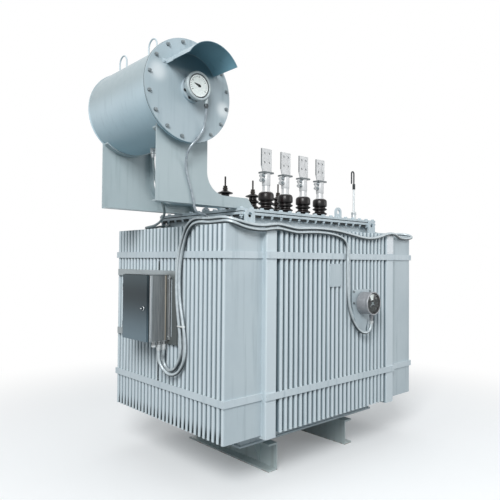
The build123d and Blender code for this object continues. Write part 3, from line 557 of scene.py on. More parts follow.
# small bright cylinder
chromed = makeMetal("chromedLock", "#DADFE1", "#EDF0F1", 5.0, 0.22, 0.85, relief=0.00003)
# moulded sheet, matt
blackRubber = makePlastic("nitrileRubber", "#23282A", "#33393B", 6.0, 0.75)
# sand-cast skin under grey paint
castGrey = makePlastic("paintedAluminiumCasting", "#A3AFB2", "#BAC5C7", 5.0, 0.45, 0.0004)
# dusty moulded hose
hoseSkin = makePlastic("agedHoseRubber", "#5E6C70", "#748285", 9.0, 0.55)
# stove enamel on a dial plate
whiteEnamel = makePlastic("whiteDialEnamel", "#E6E9E8", "#F3F4F2", 12.0, 0.4)
# screen ink and pointer lacquer
blackPrint = makePlastic("blackDialInk", "#101214", "#1B1E20", 4.0, 0.5)
# dull black with a bloom of dust
dialBlack = makePlastic("mattDialLacquer", "#08090A", "#191D1F", 14.0, 0.7)
# matt anodised sheet, pale
plateSheet = makePlastic("anodisedPlate", "#DDE4E9", "#E8EDF1", 15.0, 0.38)
# moulded strap
tieNylon = makePlastic("nylonTie", "#D9DCDB", "#E8EAE9", 6.0, 0.4)
print("materials made")


# Conduits held at both ends, on smooth lines. Radii and routes in metres, as in the part's source;
# the collars are in mm.

conduitSetup = {"radius": 0.011, "thin": 0.007, "hose": 0.008, "bevelSteps": 4, "runSteps": 8,
                "ferruleWall": 3.0, "ferruleLength": 26.0, "ferruleStep": 1.5, "ferruleShares": (0.7, 0.8),
                "nutAcross": 2.6, "nutShares": (0.12, 0.4), "ferruleSteps": 24, "soft": 0.5}

endRoute = [
    (-1.005, -0.062, 0.832), (-1.005, -0.062, 0.79), (-0.999, -0.048, 0.742), (-0.993, -0.064, 0.702),
    (-0.989, -0.11, 0.677), (-0.988, -0.165, 0.697), (-0.988, -0.206, 0.748), (-0.988, -0.226, 0.815),
    (-0.988, -0.221, 0.9), (-0.991, -0.204, 1.005), (-0.993, -0.186, 1.125), (-0.993, -0.179, 1.25),
    (-0.992, -0.186, 1.355), (-0.988, -0.204, 1.455), (-0.984, -0.236, 1.53), (-0.986, -0.276, 1.59),
    (-0.971, -0.327, 1.629), (-0.949, -0.393, 1.625), (-0.95, -0.468, 1.622), (-0.951, -0.54, 1.624),
    (-0.939, -0.6, 1.621), (-0.9, -0.637, 1.606), (-0.845, -0.651, 1.592), (-0.782, -0.656, 1.583),
    (-0.712, -0.661, 1.582), (-0.645, -0.664, 1.593), (-0.585, -0.664, 1.598), (-0.51, -0.664, 1.588),
    (-0.42, -0.664, 1.578), (-0.322, -0.664, 1.585), (-0.22, -0.664, 1.589), (-0.115, -0.664, 1.587),
    (-0.015, -0.664, 1.582), (0.08, -0.664, 1.571), (0.175, -0.664, 1.558), (0.255, -0.664, 1.547),
    (0.33, -0.664, 1.543), (0.405, -0.664, 1.547), (0.475, -0.664, 1.56), (0.538, -0.664, 1.577),
    (0.6, -0.668, 1.591), (0.662, -0.67, 1.588), (0.725, -0.655, 1.574), (0.793, -0.635, 1.562),
    (0.865, -0.631, 1.559), (0.93, -0.634, 1.564), (0.985, -0.63, 1.577), (0.992, -0.584, 1.597),
    (0.958, -0.537, 1.604), (0.905, -0.5, 1.6), (0.85, -0.462, 1.6), (0.8, -0.424, 1.602),
    (0.754, -0.4, 1.618), (0.7, -0.4, 1.618)]
thermometerRoute = [
    (-1.041, -0.062, 0.832), (-1.041, -0.062, 0.788), (-1.037, -0.06, 0.74), (-1.027, -0.086, 0.695),
    (-1.011, -0.137, 0.661), (-0.998, -0.197, 0.673), (-0.991, -0.241, 0.717), (-0.989, -0.267, 0.776),
    (-0.988, -0.275, 0.846), (-0.988, -0.263, 0.931), (-0.99, -0.241, 1.026), (-0.99, -0.215, 1.126),
    (-0.99, -0.205, 1.231), (-0.99, -0.21, 1.336), (-0.987, -0.228, 1.43), (-0.984, -0.256, 1.504),
    (-0.986, -0.292, 1.559), (-0.984, -0.336, 1.594), (-0.967, -0.386, 1.606), (-0.951, -0.444, 1.599),
    (-0.952, -0.505, 1.599), (-0.953, -0.56, 1.6), (-0.948, -0.614, 1.602), (-0.916, -0.645, 1.589),
    (-0.864, -0.653, 1.57), (-0.795, -0.658, 1.559), (-0.716, -0.662, 1.557), (-0.646, -0.664, 1.568),
    (-0.586, -0.664, 1.573), (-0.511, -0.664, 1.563), (-0.421, -0.664, 1.553), (-0.323, -0.664, 1.56),
    (-0.221, -0.664, 1.564), (-0.12, -0.664, 1.561), (-0.03, -0.664, 1.552), (0.042, -0.666, 1.531),
    (0.078, -0.67, 1.49), (0.084, -0.673, 1.43), (0.079, -0.674, 1.345), (0.083, -0.674, 1.245),
    (0.087, -0.675, 1.15), (0.096, -0.676, 1.07), (0.116, -0.678, 1), (0.15, -0.682, 0.94),
    (0.19, -0.687, 0.897), (0.238, -0.693, 0.873), (0.286, -0.7, 0.878), (0.312, -0.7055, 0.915),
    (0.312, -0.7055, 0.957)]
gaugeRoute = [
    (-1.052, -0.543, 2.258), (-1.052, -0.543, 2.218), (-1.04, -0.522, 2.172), (-1.042, -0.506, 2.125),
    (-1.064, -0.501, 2.082), (-1.1, -0.501, 2.044), (-1.126, -0.485, 2.004), (-1.122, -0.456, 1.962),
    (-1.112, -0.435, 1.918), (-1.101, -0.433, 1.866), (-1.084, -0.433, 1.818), (-1.066, -0.433, 1.768),
    (-1.054, -0.434, 1.715), (-1.042, -0.431, 1.672), (-1.008, -0.416, 1.65), (-0.952, -0.394, 1.654),
    (-0.89, -0.372, 1.632), (-0.822, -0.35, 1.613), (-0.752, -0.338, 1.622), (-0.7, -0.338, 1.622)]
hoseRoute = [
    (-1.125, -0.104, 2.032), (-1.125, -0.104, 1.985), (-1.112, -0.098, 1.915), (-1.09, -0.092, 1.845),
    (-1.06, -0.084, 1.78), (-1.022, -0.066, 1.725), (-0.99, -0.034, 1.682), (-0.972, 0.014, 1.648),
    (-0.966, 0.07, 1.621), (-0.962, 0.13, 1.606), (-0.958, 0.192, 1.601), (-0.948, 0.256, 1.599),
    (-0.922, 0.314, 1.599), (-0.874, 0.352, 1.6), (-0.812, 0.37, 1.61), (-0.756, 0.376, 1.622),
    (-0.7, 0.376, 1.622)]


def layConduit(name, route, radius, material):
    data = bpy.data.curves.new(name + "Line", "CURVE")
    data.dimensions = "3D"
    data.bevel_depth = radius
    data.bevel_resolution = conduitSetup["bevelSteps"]
    data.use_fill_caps = True
    data.materials.append(material)
    spline = data.splines.new("NURBS")
    spline.points.add(len(route) - 1)
    for point, place in zip(spline.points, route):
        point.co = (*place, 1)
    spline.order_u = 3
    spline.use_endpoint_u = True
    spline.resolution_u = conduitSetup["runSteps"]
    piece = bpy.data.objects.new(name + "Line", data)
    bpy.context.scene.collection.objects.link(piece)
    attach(piece, "transformer")
    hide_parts(name)


def addFerrule(bm, start, toward, radius):
    # Turned collar with a hexagon, from an end of a route along its first run.
    s = conduitSetup
    axis = (Vector(toward) - Vector(start)).normalized()
    place = at(*[v * 1000 for v in start]) @ axis.to_track_quat("Z", "Y").to_matrix().to_4x4()
    wall = radius * 1000 + s["ferruleWall"]
    slim = wall - s["ferruleStep"]
    length = s["ferruleLength"]
    stepLow, stepHigh = [length * share for share in s["ferruleShares"]]
    nutLow, nutHigh = [length * share for share in s["nutShares"]]
    outline = [(0, 0), (wall, 0), (wall, stepLow), (slim, stepHigh), (slim, length), (0, length)]
    spinProfile(bm, outline, s["ferruleSteps"], place)
    addPrism(bm, 6, wall + s["nutAcross"], nutHigh, place @ at(0, 0, nutLow))


def dressConduits():
    s = conduitSetup
    runs = [("end_conduit", endRoute, s["radius"], conduitSkin, "steel_conduit"),
            ("thermometer_conduit", thermometerRoute, s["radius"], conduitSkin, "steel_conduit"),
            ("gauge_conduit", gaugeRoute, s["thin"], thinConduitSkin, "steel_conduit"),
            ("drain_hose", hoseRoute, s["hose"], hoseSkin, "rubber_hose")]
    bright, dark = bmesh.new(), bmesh.new()
    for name, route, radius, material, slot in runs:
        layConduit(name, route, radius, material)
        addFerrule(dark if route is gaugeRoute else bright, route[0], route[1], radius)
        addFerrule(bright, route[-1], route[-2], radius)
    for name, bm, material in (("conduitFerrules", bright, galvanised), ("gaugeFerrule", dark, darkBezel)):
        softenEdges(bm, s["soft"], 1)
        finishPiece(name, bm, material)


dressConduits()
print("conduits laid")


# Fasteners: width across the flats, height of the head or nut, and the washer's radius and depth

headShape = {"chamfer": 2.0, "taper": 0.86, "shank": 0.52, "sunk": 0.5, "washerSides": 16,
             "shankSides": 10}
rimBolt = {"across": 24.0, "head": 8.0, "washer": 15.0, "washerDepth": 2.5}
rimNut = {**rimBolt, "head": 12.0}
clampBolt = {"across": 19.0, "head": 8.0, "washer": 12.0, "washerDepth": 2.0}
drumBolt = {"across": 17.0, "head": 9.0, "washer": 11.5, "washerDepth": 2.0}
smallBolt = {"across": 13.0, "head": 6.0, "washer": 9.0, "washerDepth": 1.5}
hoodBolt = {"across": 12.0, "head": 5.0, "washer": 8.5, "washerDepth": 1.5}


def boltHead(bolt, shank=0.0):
    # Washer and hexagon standing on Z = 0, and the end of the thread where it shows.
    s = headShape
    bm = bmesh.new()
    low = bolt["washerDepth"]
    straight = bolt["head"] - s["chamfer"]
    radius = bolt["across"] / 2 / math.cos(math.pi / 6)
    addPrism(bm, s["washerSides"], bolt["washer"], low, at(0, 0, 0))
    addPrism(bm, 6, radius, straight, at(0, 0, low))
    addPrism(bm, 6, radius, s["chamfer"], at(0, 0, low + straight), radius * s["taper"])
    if shank:
        end = at(0, 0, low + bolt["head"] - s["sunk"])
        addPrism(bm, s["shankSides"], radius * s["shank"], shank, end)
    return bm


def boltPiece(name, bolt, shank, places, material):
    # A whole piece from copies of one fastener
    bm = bmesh.new()
    stampCopies(bm, boltHead(bolt, shank), places)
    finishPiece(name, bm, material)


def ringPlaces(centre, facing, radius, count, start=0.0):
    # Places round a circle, in the plane that facing looks out of.
    return [at(*centre) @ facing @ Matrix.Rotation(start + math.tau * i / count, 4, "Z") @ at(radius, 0, 0)
            for i in range(count)]


# Conservator drum: cover bolts, weld beads, joint

drumSetup = {"x": -1125.0, "z": 2330.0, "coverFace": -487.0, "joint": -475.0, "back": 225.0,
             "boltRing": 268.0, "bolts": 16, "boltEnd": 4.0, "shell": 268.0, "bead": 4.5, "beadSides": 8,
             "beadBehind": 12.0, "jointBand": (286.0, 290.6), "jointHalf": 1.2, "steps": 96}


def dressDrum():
    s = drumSetup
    places = ringPlaces((s["x"], s["coverFace"], s["z"]), faceFront, s["boltRing"], s["bolts"],
                        math.pi / s["bolts"])
    boltPiece("drumCoverBolts", drumBolt, s["boltEnd"], places, zincPlate)
    bm = bmesh.new()
    turns = [math.tau * i / s["beadSides"] for i in range(s["beadSides"] + 1)]
    bead = [(s["shell"] + math.cos(turn) * s["bead"], math.sin(turn) * s["bead"]) for turn in turns]
    for y in (s["joint"] + s["beadBehind"], s["back"]):
        spinProfile(bm, bead, s["steps"], at(s["x"], y, s["z"]) @ faceFront)
    finishPiece("drumWelds", bm, drumPaint)
    inner, outer = s["jointBand"]
    half = s["jointHalf"]
    band = [(inner, -half), (outer, -half), (outer, half), (inner, half), (inner, -half)]
    turnedPiece("drumJoint", band, s["steps"], at(s["x"], s["joint"], s["z"]) @ faceFront, blackRubber)


dressDrum()


# Hood over the level gauge, on two small brackets

hoodSetup = {"x": -1118.0, "crown": 2543.0, "rise": 93.0, "halfSpan": 163.0, "root": -487.0,
             "reach": 213.0, "sheet": 3.0, "steps": 28, "bracketSheet": 3.0, "bracketDeep": 60.0,
             "bracketWide": 26.0, "bracketSpan": (-4.0, 18.0), "bolt": (15.0, 7.0)}


def makeHood():
    s = hoodSetup
    radius = (s["halfSpan"] ** 2 + s["rise"] ** 2) / (2 * s["rise"])
    half = math.asin(s["halfSpan"] / radius)
    bm = bmesh.new()
    for band in (0, 1):
        # the outer skin, then the underside just under it, which carries the painted shade
        outer = radius - band * s["sheet"] / 2
        inner = outer - s["sheet"] / 2
        section = [bm.verts.new((0, s["root"] - s["reach"] * share, r))
                   for share, r in ((0, outer), (1, outer), (1, inner), (0, inner))]
        face = bm.faces.new(section)
        face.material_index = band
        bmesh.ops.rotate(bm, verts=section, cent=(0, 0, 0), matrix=Matrix.Rotation(-half, 3, "Y"))
        bmesh.ops.spin(bm, geom=[face], cent=(0, 0, 0), axis=(0, 1, 0), angle=2 * half, steps=s["steps"])
    bmesh.ops.translate(bm, verts=bm.verts, vec=(s["x"], 0, s["crown"] - radius))
    finishPiece("hoodSheet", bm, [hoodPaint, hoodUnderShade], ["gauge_hood"])
    bm = bmesh.new()
    foot = s["crown"] - s["rise"]
    low, high = [foot + part for part in s["bracketSpan"]]
    thick = s["bracketSheet"]
    out, up = s["bolt"]
    for side in (-1, 1):
        x = s["x"] + side * s["halfSpan"]
        addBlock(bm, (x, s["root"] - s["bracketDeep"], low), (x - side * thick, s["root"], high))
        addBlock(bm, (x, s["root"] - thick, low), (x + side * s["bracketWide"], s["root"], high))
        stampCopies(bm, boltHead(hoodBolt), [at(x + side * out, s["root"] - thick, foot + up) @ faceFront])
    finishPiece("hoodBrackets", bm, paint)


makeHood()


# Parts that the two dials share

def addGland(bm, gland):
    # Conduit gland below a dial, with its nut.
    foot = at(*gland["foot"])
    spinProfile(bm, gland["outline"], gland["steps"], foot)
    addPrism(bm, 6, gland["nut"], gland["nutHigh"], foot @ at(0, 0, gland["nutLow"]))


def addScale(bm, scale, place):
    # Lines of a dial's scale, each long or short by its number; then the hands and the hub.
    for index in range(scale["lines"]):
        length, half = scale["short"] if index % scale["longEvery"] else scale["long"]
        addBlock(bm, (scale["edge"] - length, -half, scale["low"]),
                 (scale["edge"], half, scale["low"] + scale["thick"]),
                 place @ turnedBy(scale["start"] + index * scale["step"]))
    for turn, outline in scale["hands"]:
        addPointer(bm, outline, scale["handThick"], place @ turnedBy(turn) @ at(0, 0, scale["handLow"]))
    sides, radius, height = scale["hub"]
    addPrism(bm, sides, radius, height, place)


# Oil level gauge. Outlines are (radius, height) points in mm, from a piece's back to its front.

gaugeSetup = {"x": -1110.0, "z": 2346.0, "back": -526.0, "floor": -551.0, "scaleFace": -552.5,
              "glassBack": -555.8, "base": (-1110.0, -501.0, 2341.0), "baseRing": 61.0, "baseBolts": 8,
              "baseStart": 0.3, "boltEnd": 3.0, "soft": 1.0, "steps": 64, "discSteps": 48}
gaugeGland = {"foot": (-1052.0, -543.0, 2258.0), "outline": [(0, 0), (9, 0), (11, 2), (11, 40), (0, 40)],
              "steps": 20, "nut": 12.5, "nutHigh": 12.0, "nutLow": 12.0}
gaugeCase = [(0, 0), (77, 0), (78, 20), (82, 23), (82, 29), (78, 33), (74, 34), (69, 32), (68, 30), (68, 25),
             (0, 25)]
gaugeRing = [(61, 0), (67.5, 0), (67.5, 5), (61, 1.6), (61, 0)]
gaugeDisc = [(0, 0), (61, 0), (61, 1.5), (0, 1.5)]
gaugeWindow = [(0, 0), (61, 0), (61, 1.2), (42.7, 2.0), (0, 2.6)]
gaugeScale = {"lines": 21, "start": -30, "step": 12, "longEvery": 5, "long": (12, 1.6), "short": (7, 1.0),
              "edge": 56, "low": 0, "thick": 0.5, "handThick": 1.2, "handLow": 2.2, "hub": (20, 8, 3.6),
              "hands": [(164, [(-12, -5.0), (4, -7.0), (34, -2.0), (34, 2.0), (4, 7.0), (-12, 5.0)])]}


def makeGauge():
    s = gaugeSetup
    back, floor, face, front = [at(s["x"], s[key], s["z"]) @ faceFront
                                for key in ("back", "floor", "scaleFace", "glassBack")]
    bm = bmesh.new()
    spinProfile(bm, gaugeCase, s["steps"], back)
    addGland(bm, gaugeGland)
    softenEdges(bm, s["soft"])
    finishPiece("gaugeCase", bm, castGrey, ["gauge_dial"])
    # dark inner ring: painted shadow in the corner inside the case
    turnedPiece("gaugeInnerRing", gaugeRing, s["steps"], floor, darkBezel)
    turnedPiece("gaugeFace", gaugeDisc, s["discSteps"], floor, whiteEnamel)
    bm = bmesh.new()
    addScale(bm, gaugeScale, face)
    finishPiece("gaugeScale", bm, blackPrint)
    turnedPiece("gaugeGlass", gaugeWindow, s["discSteps"], front, glass)
    places = ringPlaces(s["base"], faceFront, s["baseRing"], s["baseBolts"], s["baseStart"])
    # dark base bolts: painted shade on the flange
    boltPiece("gaugeBaseBolts", smallBolt, s["boltEnd"], places, darkBezel)


makeGauge()
print("drum dressed")


# Low-voltage bushings: porcelain, stud, clamp and drilled flag. Heights are from the cover up.

lvSetup = {"first": -251.0, "pitch": 196.0, "count": 4, "y": -202.0, "seat": 1703.0, "top": 295.0,
           "ear": (-53.0, -22.0), "earLow": 233.0, "slit": (1.5, 10.0), "clampBolts": (-41.0, (247.0, 279.0)),
           "foot": (48.5, 30.0), "thick": 12.0, "flagLow": 6.0, "boltEnd": 4.0, "baseRing": 45.0,
           "baseLevel": 17.0, "baseTurns": (0.4, 1.97, 3.54, 5.11), "steps": 48, "soft": 2.0,
           "softAbove": 24.0, "smoothTo": 60.0, "studSteps": 40, "studSoft": 1.2}
lvOutline = [(0, 0), (54, 0), (54, 17), (40, 27), (38, 33), (57, 44), (57, 50), (40, 60), (38, 69), (57, 79),
             (57, 85), (42, 94), (42, 98), (54, 104), (56, 112), (56, 144), (51, 156), (42, 162), (0, 162)]
lvStud = [(0, 160), (35, 160), (35, 167), (27, 169), (27, 215), (0, 215)]
lvClamp = [(0, 209), (30, 209), (30, 295), (0, 295)]
lvFlag = [(-31.5, 0), (48.5, 0), (48.5, 173), (-48.5, 173), (-48.5, 48)]
lvHoles = [(x, y, 8.5) for x in (-23, 23) for y in (139, 73)]


def rowPlaces(s):
    return [at(s["first"] + index * s["pitch"], s["y"], s["seat"]) for index in range(s["count"])]


def markShearedEdges(bm, low, high):
    # The second material on a flag's upright edges and on the rim of its foot
    for face in bm.faces:
        height = face.calc_center_median().z
        side = abs(face.normal.x) > 0.95 and height > low
        rim = abs(face.normal.z) < 0.5 and low < height < high
        face.material_index = 1 if side or rim else 0


def makeLvBushings():
    s = lvSetup
    wide, deep = s["foot"]
    footLow = s["seat"] + s["top"]
    boltX, boltLevels = s["clampBolts"]
    for number, place in enumerate(rowPlaces(s), 1):
        bm = bmesh.new()
        spinProfile(bm, lvOutline, s["steps"], place)
        softenEdges(bm, s["soft"], 2, s["softAbove"])
        finishPiece(f"lvPorcelain{number}", bm, porcelain, [f"lv_insulator_{number}"],
                    s["smoothTo"])
        bm = bmesh.new()
        spinProfile(bm, lvStud, s["studSteps"], place)
        spinProfile(bm, lvClamp, s["studSteps"], place)
        for side in (-1, 1):
            near, far = [side * y for y in s["slit"]]
            addBlock(bm, (s["ear"][0], near, s["earLow"]), (s["ear"][1], far, s["top"]), place)
        addBlock(bm, (-wide, -deep, s["top"]), (wide, deep, s["top"] + s["thick"]), place)
        flagPlace = place @ at(0, s["thick"] / 2, s["top"] + s["flagLow"]) @ faceFront
        addPlate(bm, lvFlag, s["thick"], flagPlace, lvHoles)
        softenEdges(bm, s["studSoft"])
        markShearedEdges(bm, footLow, footLow + s["thick"])
        finishPiece(f"lvTerminal{number}", bm, [tinnedCopper, shearedEdge],
                    [f"lv_terminal_{number}"])
        spots = [at(boltX, side * s["slit"][1], level) @ facing for level in boltLevels
                 for side, facing in ((-1, faceFront), (1, faceBack))]
        spots += [at(s["baseRing"] * math.cos(turn), s["baseRing"] * math.sin(turn), s["baseLevel"])
                  for turn in s["baseTurns"]]
        boltPiece(f"lvBolts{number}", clampBolt, s["boltEnd"], [place @ spot for spot in spots], zincPlate)


makeLvBushings()


# High-voltage bushings: porcelain with sheds, threaded stud with nuts

hvSetup = {"first": -300.0, "pitch": 285.5, "count": 3, "y": 198.0, "seat": 1703.0, "threadLow": 244.0,
           "threadPitch": 3.0, "threadTurns": 24, "threadRadii": (6.0, 7.0), "threadSteps": 14,
           "steps": 40, "soft": 1.5, "softAbove": 24.0, "smoothTo": 60.0, "seatSteps": 24,
           "nuts": ((6, 19.5, 14, 215, 0), (6, 18.0, 12, 232, 22.918), (24, 13.0, 4, 228.5, 0))}
hvOutline = [(0, 0), (50, 0), (50, 20), (32, 28), (30, 38), (48, 47), (50, 52), (47, 57), (32, 68), (30, 84),
             (48, 93), (50, 98), (47, 103), (32, 114), (30, 130), (48, 139), (50, 144), (47, 149), (32, 160),
             (30, 178), (56, 184), (60, 188), (58, 192), (34, 201), (22, 208), (0, 208)]
hvSeat = [(0, 206), (20, 206), (20, 211), (14, 212), (14, 216), (0, 216)]
hvTip = [(5.5, 316), (4.0, 317), (0, 317)]


def makeHvBushings():
    s = hvSetup
    places = rowPlaces(s)
    for number, place in enumerate(places, 1):
        bm = bmesh.new()
        spinProfile(bm, hvOutline, s["steps"], place)
        softenEdges(bm, s["soft"], 2, s["softAbove"])
        finishPiece(f"hvPorcelain{number}", bm, porcelain, [f"hv_insulator_{number}"],
                    s["smoothTo"])
    root, crest = s["threadRadii"]
    thread = [(0, 214)]
    for step in range(s["threadTurns"]):
        # drawn coarser than the real thread so that it shows
        low = s["threadLow"] + step * s["threadPitch"]
        thread += [(root, low), (crest, low + s["threadPitch"] / 2)]
    bm = bmesh.new()
    for place in places:
        spinProfile(bm, hvSeat, s["seatSteps"], place)
        for sides, radius, height, low, turn in s["nuts"]:
            addPrism(bm, sides, radius, height, place @ at(0, 0, low) @ turnedBy(turn))
        spinProfile(bm, thread + hvTip, s["threadSteps"], place)
    finishPiece("hvStuds", bm, darkBrass, ["hv_studs"])


makeHvBushings()
print("bushings made")


# Filler pipe: pale riser, dark bend with a short leg

fillerSetup = {"x": 550.0, "y": -372.0, "seat": 1703.0, "nut": (22.0, 16.0, 44.0), "bendTube": 5.5,
               "bend": 15.0, "bendSteps": 16, "bendLevel": 2072.0, "drop": 82.0, "bandLow": 1947.5,
               "steps": 32, "tubeSides": 20, "bandSteps": 24, "soft": 1.0}
fillerRiser = [(0, 0), (26, 0), (26, 6), (19, 7), (19, 63), (15, 67), (8, 67), (8, 264.5), (0, 264.5)]
fillerBand = [(0, 0), (10, 0), (11, 2), (11, 40), (10, 42.5), (0, 42.5)]


def carryFaces(bm, faces, height):
    # Extrudes flat faces along Z, keeps them and returns the new ones.
    made = bmesh.ops.extrude_face_region(bm, geom=faces, use_keep_orig=True)["geom"]
    lifted = [g for g in made if isinstance(g, bmesh.types.BMVert)]
    bmesh.ops.translate(bm, verts=lifted, vec=(0, 0, height))
    return [g for g in made if isinstance(g, bmesh.types.BMFace)]


def makeFillerPipe():
    s = fillerSetup
    x, y = s["x"], s["y"]
    bm = bmesh.new()
    spinProfile(bm, fillerRiser, s["steps"], at(x, y, s["seat"]))
    radius, height, low = s["nut"]
    addPrism(bm, 6, radius, height, at(x, y, s["seat"] + low))
    softenEdges(bm, s["soft"])
    finishPiece("fillerRiser", bm, galvanised, ["filler_pipe"])
    bm = bmesh.new()
    disc = bmesh.ops.create_circle(bm, cap_ends=True, segments=s["tubeSides"], radius=s["bendTube"],
                                   matrix=at(x, y, s["bendLevel"] - s["drop"]))["verts"]
    end = carryFaces(bm, list({f for v in disc for f in v.link_faces}), s["drop"])
    made = bmesh.ops.spin(bm, geom=end, cent=(x - s["bend"], y, s["bendLevel"]), axis=(0, -1, 0),
                          angle=math.pi, steps=s["bendSteps"])["geom_last"]
    carryFaces(bm, [g for g in made if isinstance(g, bmesh.types.BMFace)], -s["drop"])
    inside = [f for f in bm.faces if all(len(e.link_faces) > 2 for e in f.edges)]
    bmesh.ops.delete(bm, geom=inside, context="FACES_ONLY")   # walls left inside the tube
    spinProfile(bm, fillerBand, s["bandSteps"], at(x, y, s["bandLow"]))
    finishPiece("fillerBend", bm, blackRubber)


makeFillerPipe()


# Rim bolts all round the cover, with nuts under the rim, and the dark strip behind the nuts, which is painted
# shadow under the rim

rimSetup = {"along": 696.0, "across": 447.0, "top": 1703.0, "under": 1665.0, "pitch": 88.0, "boltEnd": 8.0,
            "band": (702.0, 453.0, 8.0), "bandLow": 1650.0}


def evenSpots(reach, pitch):
    # Places from -reach to reach, as near to the pitch as they divide.
    count = round(2 * reach / pitch)
    return [-reach + 2 * reach * index / count for index in range(count + 1)]


def makeRimBolts():
    s = rimSetup
    spots = [(x, y) for x in evenSpots(s["along"], s["pitch"]) for y in (-s["across"], s["across"])]
    spots += [(x, y) for y in evenSpots(s["across"], s["pitch"])[1:-1] for x in (-s["along"], s["along"])]
    bm = bmesh.new()
    stampCopies(bm, boltHead(rimBolt), [at(x, y, s["top"]) for x, y in spots])
    stampCopies(bm, boltHead(rimNut, s["boltEnd"]), [at(x, y, s["under"]) @ faceDown for x, y in spots])
    finishPiece("rimBolts", bm, paint)
    # dark strip under the rim: painted shadow between the nuts
    bx, by, thick = s["band"]
    low, high = s["bandLow"], s["under"]
    blocks = []
    for side in (-1, 1):
        blocks.append(((-bx, side * by, low), (bx, side * (by - thick), high)))
        blocks.append(((side * bx, thick - by, low), (side * (bx - thick), by - thick, high)))
    blockPiece("rimShadowBand", blocks, blackRubber)


makeRimBolts()


# Cabinet: lock, screws, gland nuts, gutter, folds and seams, painted highlight on the folds and a painted
# shadow strip, and the sleeved strap behind it

cabinetSetup = {"lock": (-1152.0, -52.0, 1076.5), "bar": ((-2.5, -8.5, 11.0), (2.5, 8.5, 15.0)),
                "x": (-1131.0, -981.0), "y": (-94.0, 206.0), "z": (872.0, 1281.0),
                "screwIn": 14.0, "screwUp": 22.0, "screw": (4.5, 3.2, 2.2), "glandY": -62.0,
                "glandX": (-1005.0, -1041.0, -1077.0), "upperNut": (19.0, 9.0), "lowerNut": (17.0, 12.0),
                "glandLow": 832.0, "gutterOut": 4.0, "gutterLip": 2.0, "gutterHigh": 3.0, "gutterDrop": 7.0,
                "strap": ((-971.0, 58.0, 566.0), (-967.0, 64.0, 1370.0)), "stripIn": 1.0,
                "lockSteps": 28, "screwSides": 14, "lockSoft": 0.7, "nutSoft": 0.6, "strapSoft": 0.8,
                "stripSoft": 0.4}
cabinetLock = [(0, 0), (13, 0), (13, 1.5), (11.5, 3), (10, 3), (10, 11), (8.5, 12.5), (0, 12.5)]
# start, width and height of each strip on the cabinet's front side
# the bright folds: painted highlight
cabinetStrips = (("cabinetFrontFold", 1.0, 19.0, 2.0, brightSteel),
                 ("cabinetBackSeam", 112.0, 7.0, 2.5, warmSteel),
                 # black strip: painted shadow in the gap behind the seam
                 ("cabinetBackShadowStrip", 119.5, 5.0, 1.2, blackRubber),
                 ("cabinetBackFold", 140.0, 9.0, 2.0, brightSteel))


def dressCabinet():
    s = cabinetSetup
    bm = bmesh.new()
    lock = at(*s["lock"]) @ faceLeft
    spinProfile(bm, cabinetLock, s["lockSteps"], lock)
    addBlock(bm, *s["bar"], lock)
    softenEdges(bm, s["lockSoft"])
    finishPiece("doorLock", bm, chromed, body="door")
    (x0, x1), (y0, y1), (z0, z1) = s["x"], s["y"], s["z"]
    bm = bmesh.new()
    wide, narrow, height = s["screw"]
    for x in (x0 + s["screwIn"], x1 - s["screwIn"]):
        for z in (z0 + s["screwUp"], z1 - s["screwUp"]):
            addPrism(bm, s["screwSides"], wide, height, at(x, y0, z) @ faceFront, narrow)
    for x in s["glandX"]:
        for (radius, high), z in ((s["upperNut"], z0 - s["upperNut"][1]), (s["lowerNut"], s["glandLow"])):
            addPrism(bm, 6, radius, high, at(x, s["glandY"], z))
    softenEdges(bm, s["nutSoft"], 1)
    finishPiece("cabinetFittings", bm, galvanised)
    out, top = s["gutterOut"], z1 + s["gutterHigh"]
    gutter = [((x0 - out, y0 - out, z1), (x1, y1 + out, top)),
              ((x0 - out, y0 - out, z1 - s["gutterDrop"]), (x0 - out + s["gutterLip"], y1 + out, top))]
    blockPiece("cabinetGutter", gutter, stainless)
    blockPiece("earthStrap", [s["strap"]], blackRubber, s["strapSoft"])
    for name, start, width, proud, material in cabinetStrips:
        strip = (x0 + start, y0 - proud, z0 + s["stripIn"]), (x0 + start + width, y0, z1 - s["stripIn"])
        blockPiece(name, [strip], material, proud * s["stripSoft"], 2)


dressCabinet()


# Winding thermometer. Outlines are (radius, height) points in mm, from its back to its front.

thermoSetup = {"x": 266.0, "z": 1084.0, "back": -667.0, "face": -746.0, "glassBack": -757.6,
               "sector": (78.0, 122.0), "sectorBand": (24.0, 63.0), "sectorHigh": (1.0, 2.2),
               "sectorSteps": 16, "boltFace": -658.0, "boltOut": 95.0, "boltLevels": (1165.0, 1085.0),
               "boltEnd": 3.0, "caseSoft": 0.8, "bezelSoft": 0.6, "steps": 64, "discSteps": 48,
               "windowSmooth": 40.0}
thermoGland = {"foot": (312.0, -705.5, 957.0), "outline": [(0, 0), (11, 0), (13, 3), (13, 60), (0, 60)],
               "steps": 24, "nut": 16.5, "nutHigh": 12.0, "nutLow": 26.0}
thermoCase = [(0, -9), (40, -9), (40, 0), (76, 0), (78, 3), (78, 75), (0, 75)]
thermoBezel = [(0, 73), (80, 73), (82, 76), (82, 92), (80, 95), (76, 95), (74, 94), (74, 77), (0, 77)]
thermoSleeve = [(73.8, 77.5), (73.8, 93.5), (71, 92), (67.5, 79.5), (67.5, 77.5), (73.8, 77.5)]
thermoDisc = [(0, 0), (72.5, 0), (72.5, 1), (0, 1)]
thermoWindow = [(0, 0), (72.5, 0), (72.5, 1.0), (54.375, 2.6), (29, 3.8), (0, 4.2)]
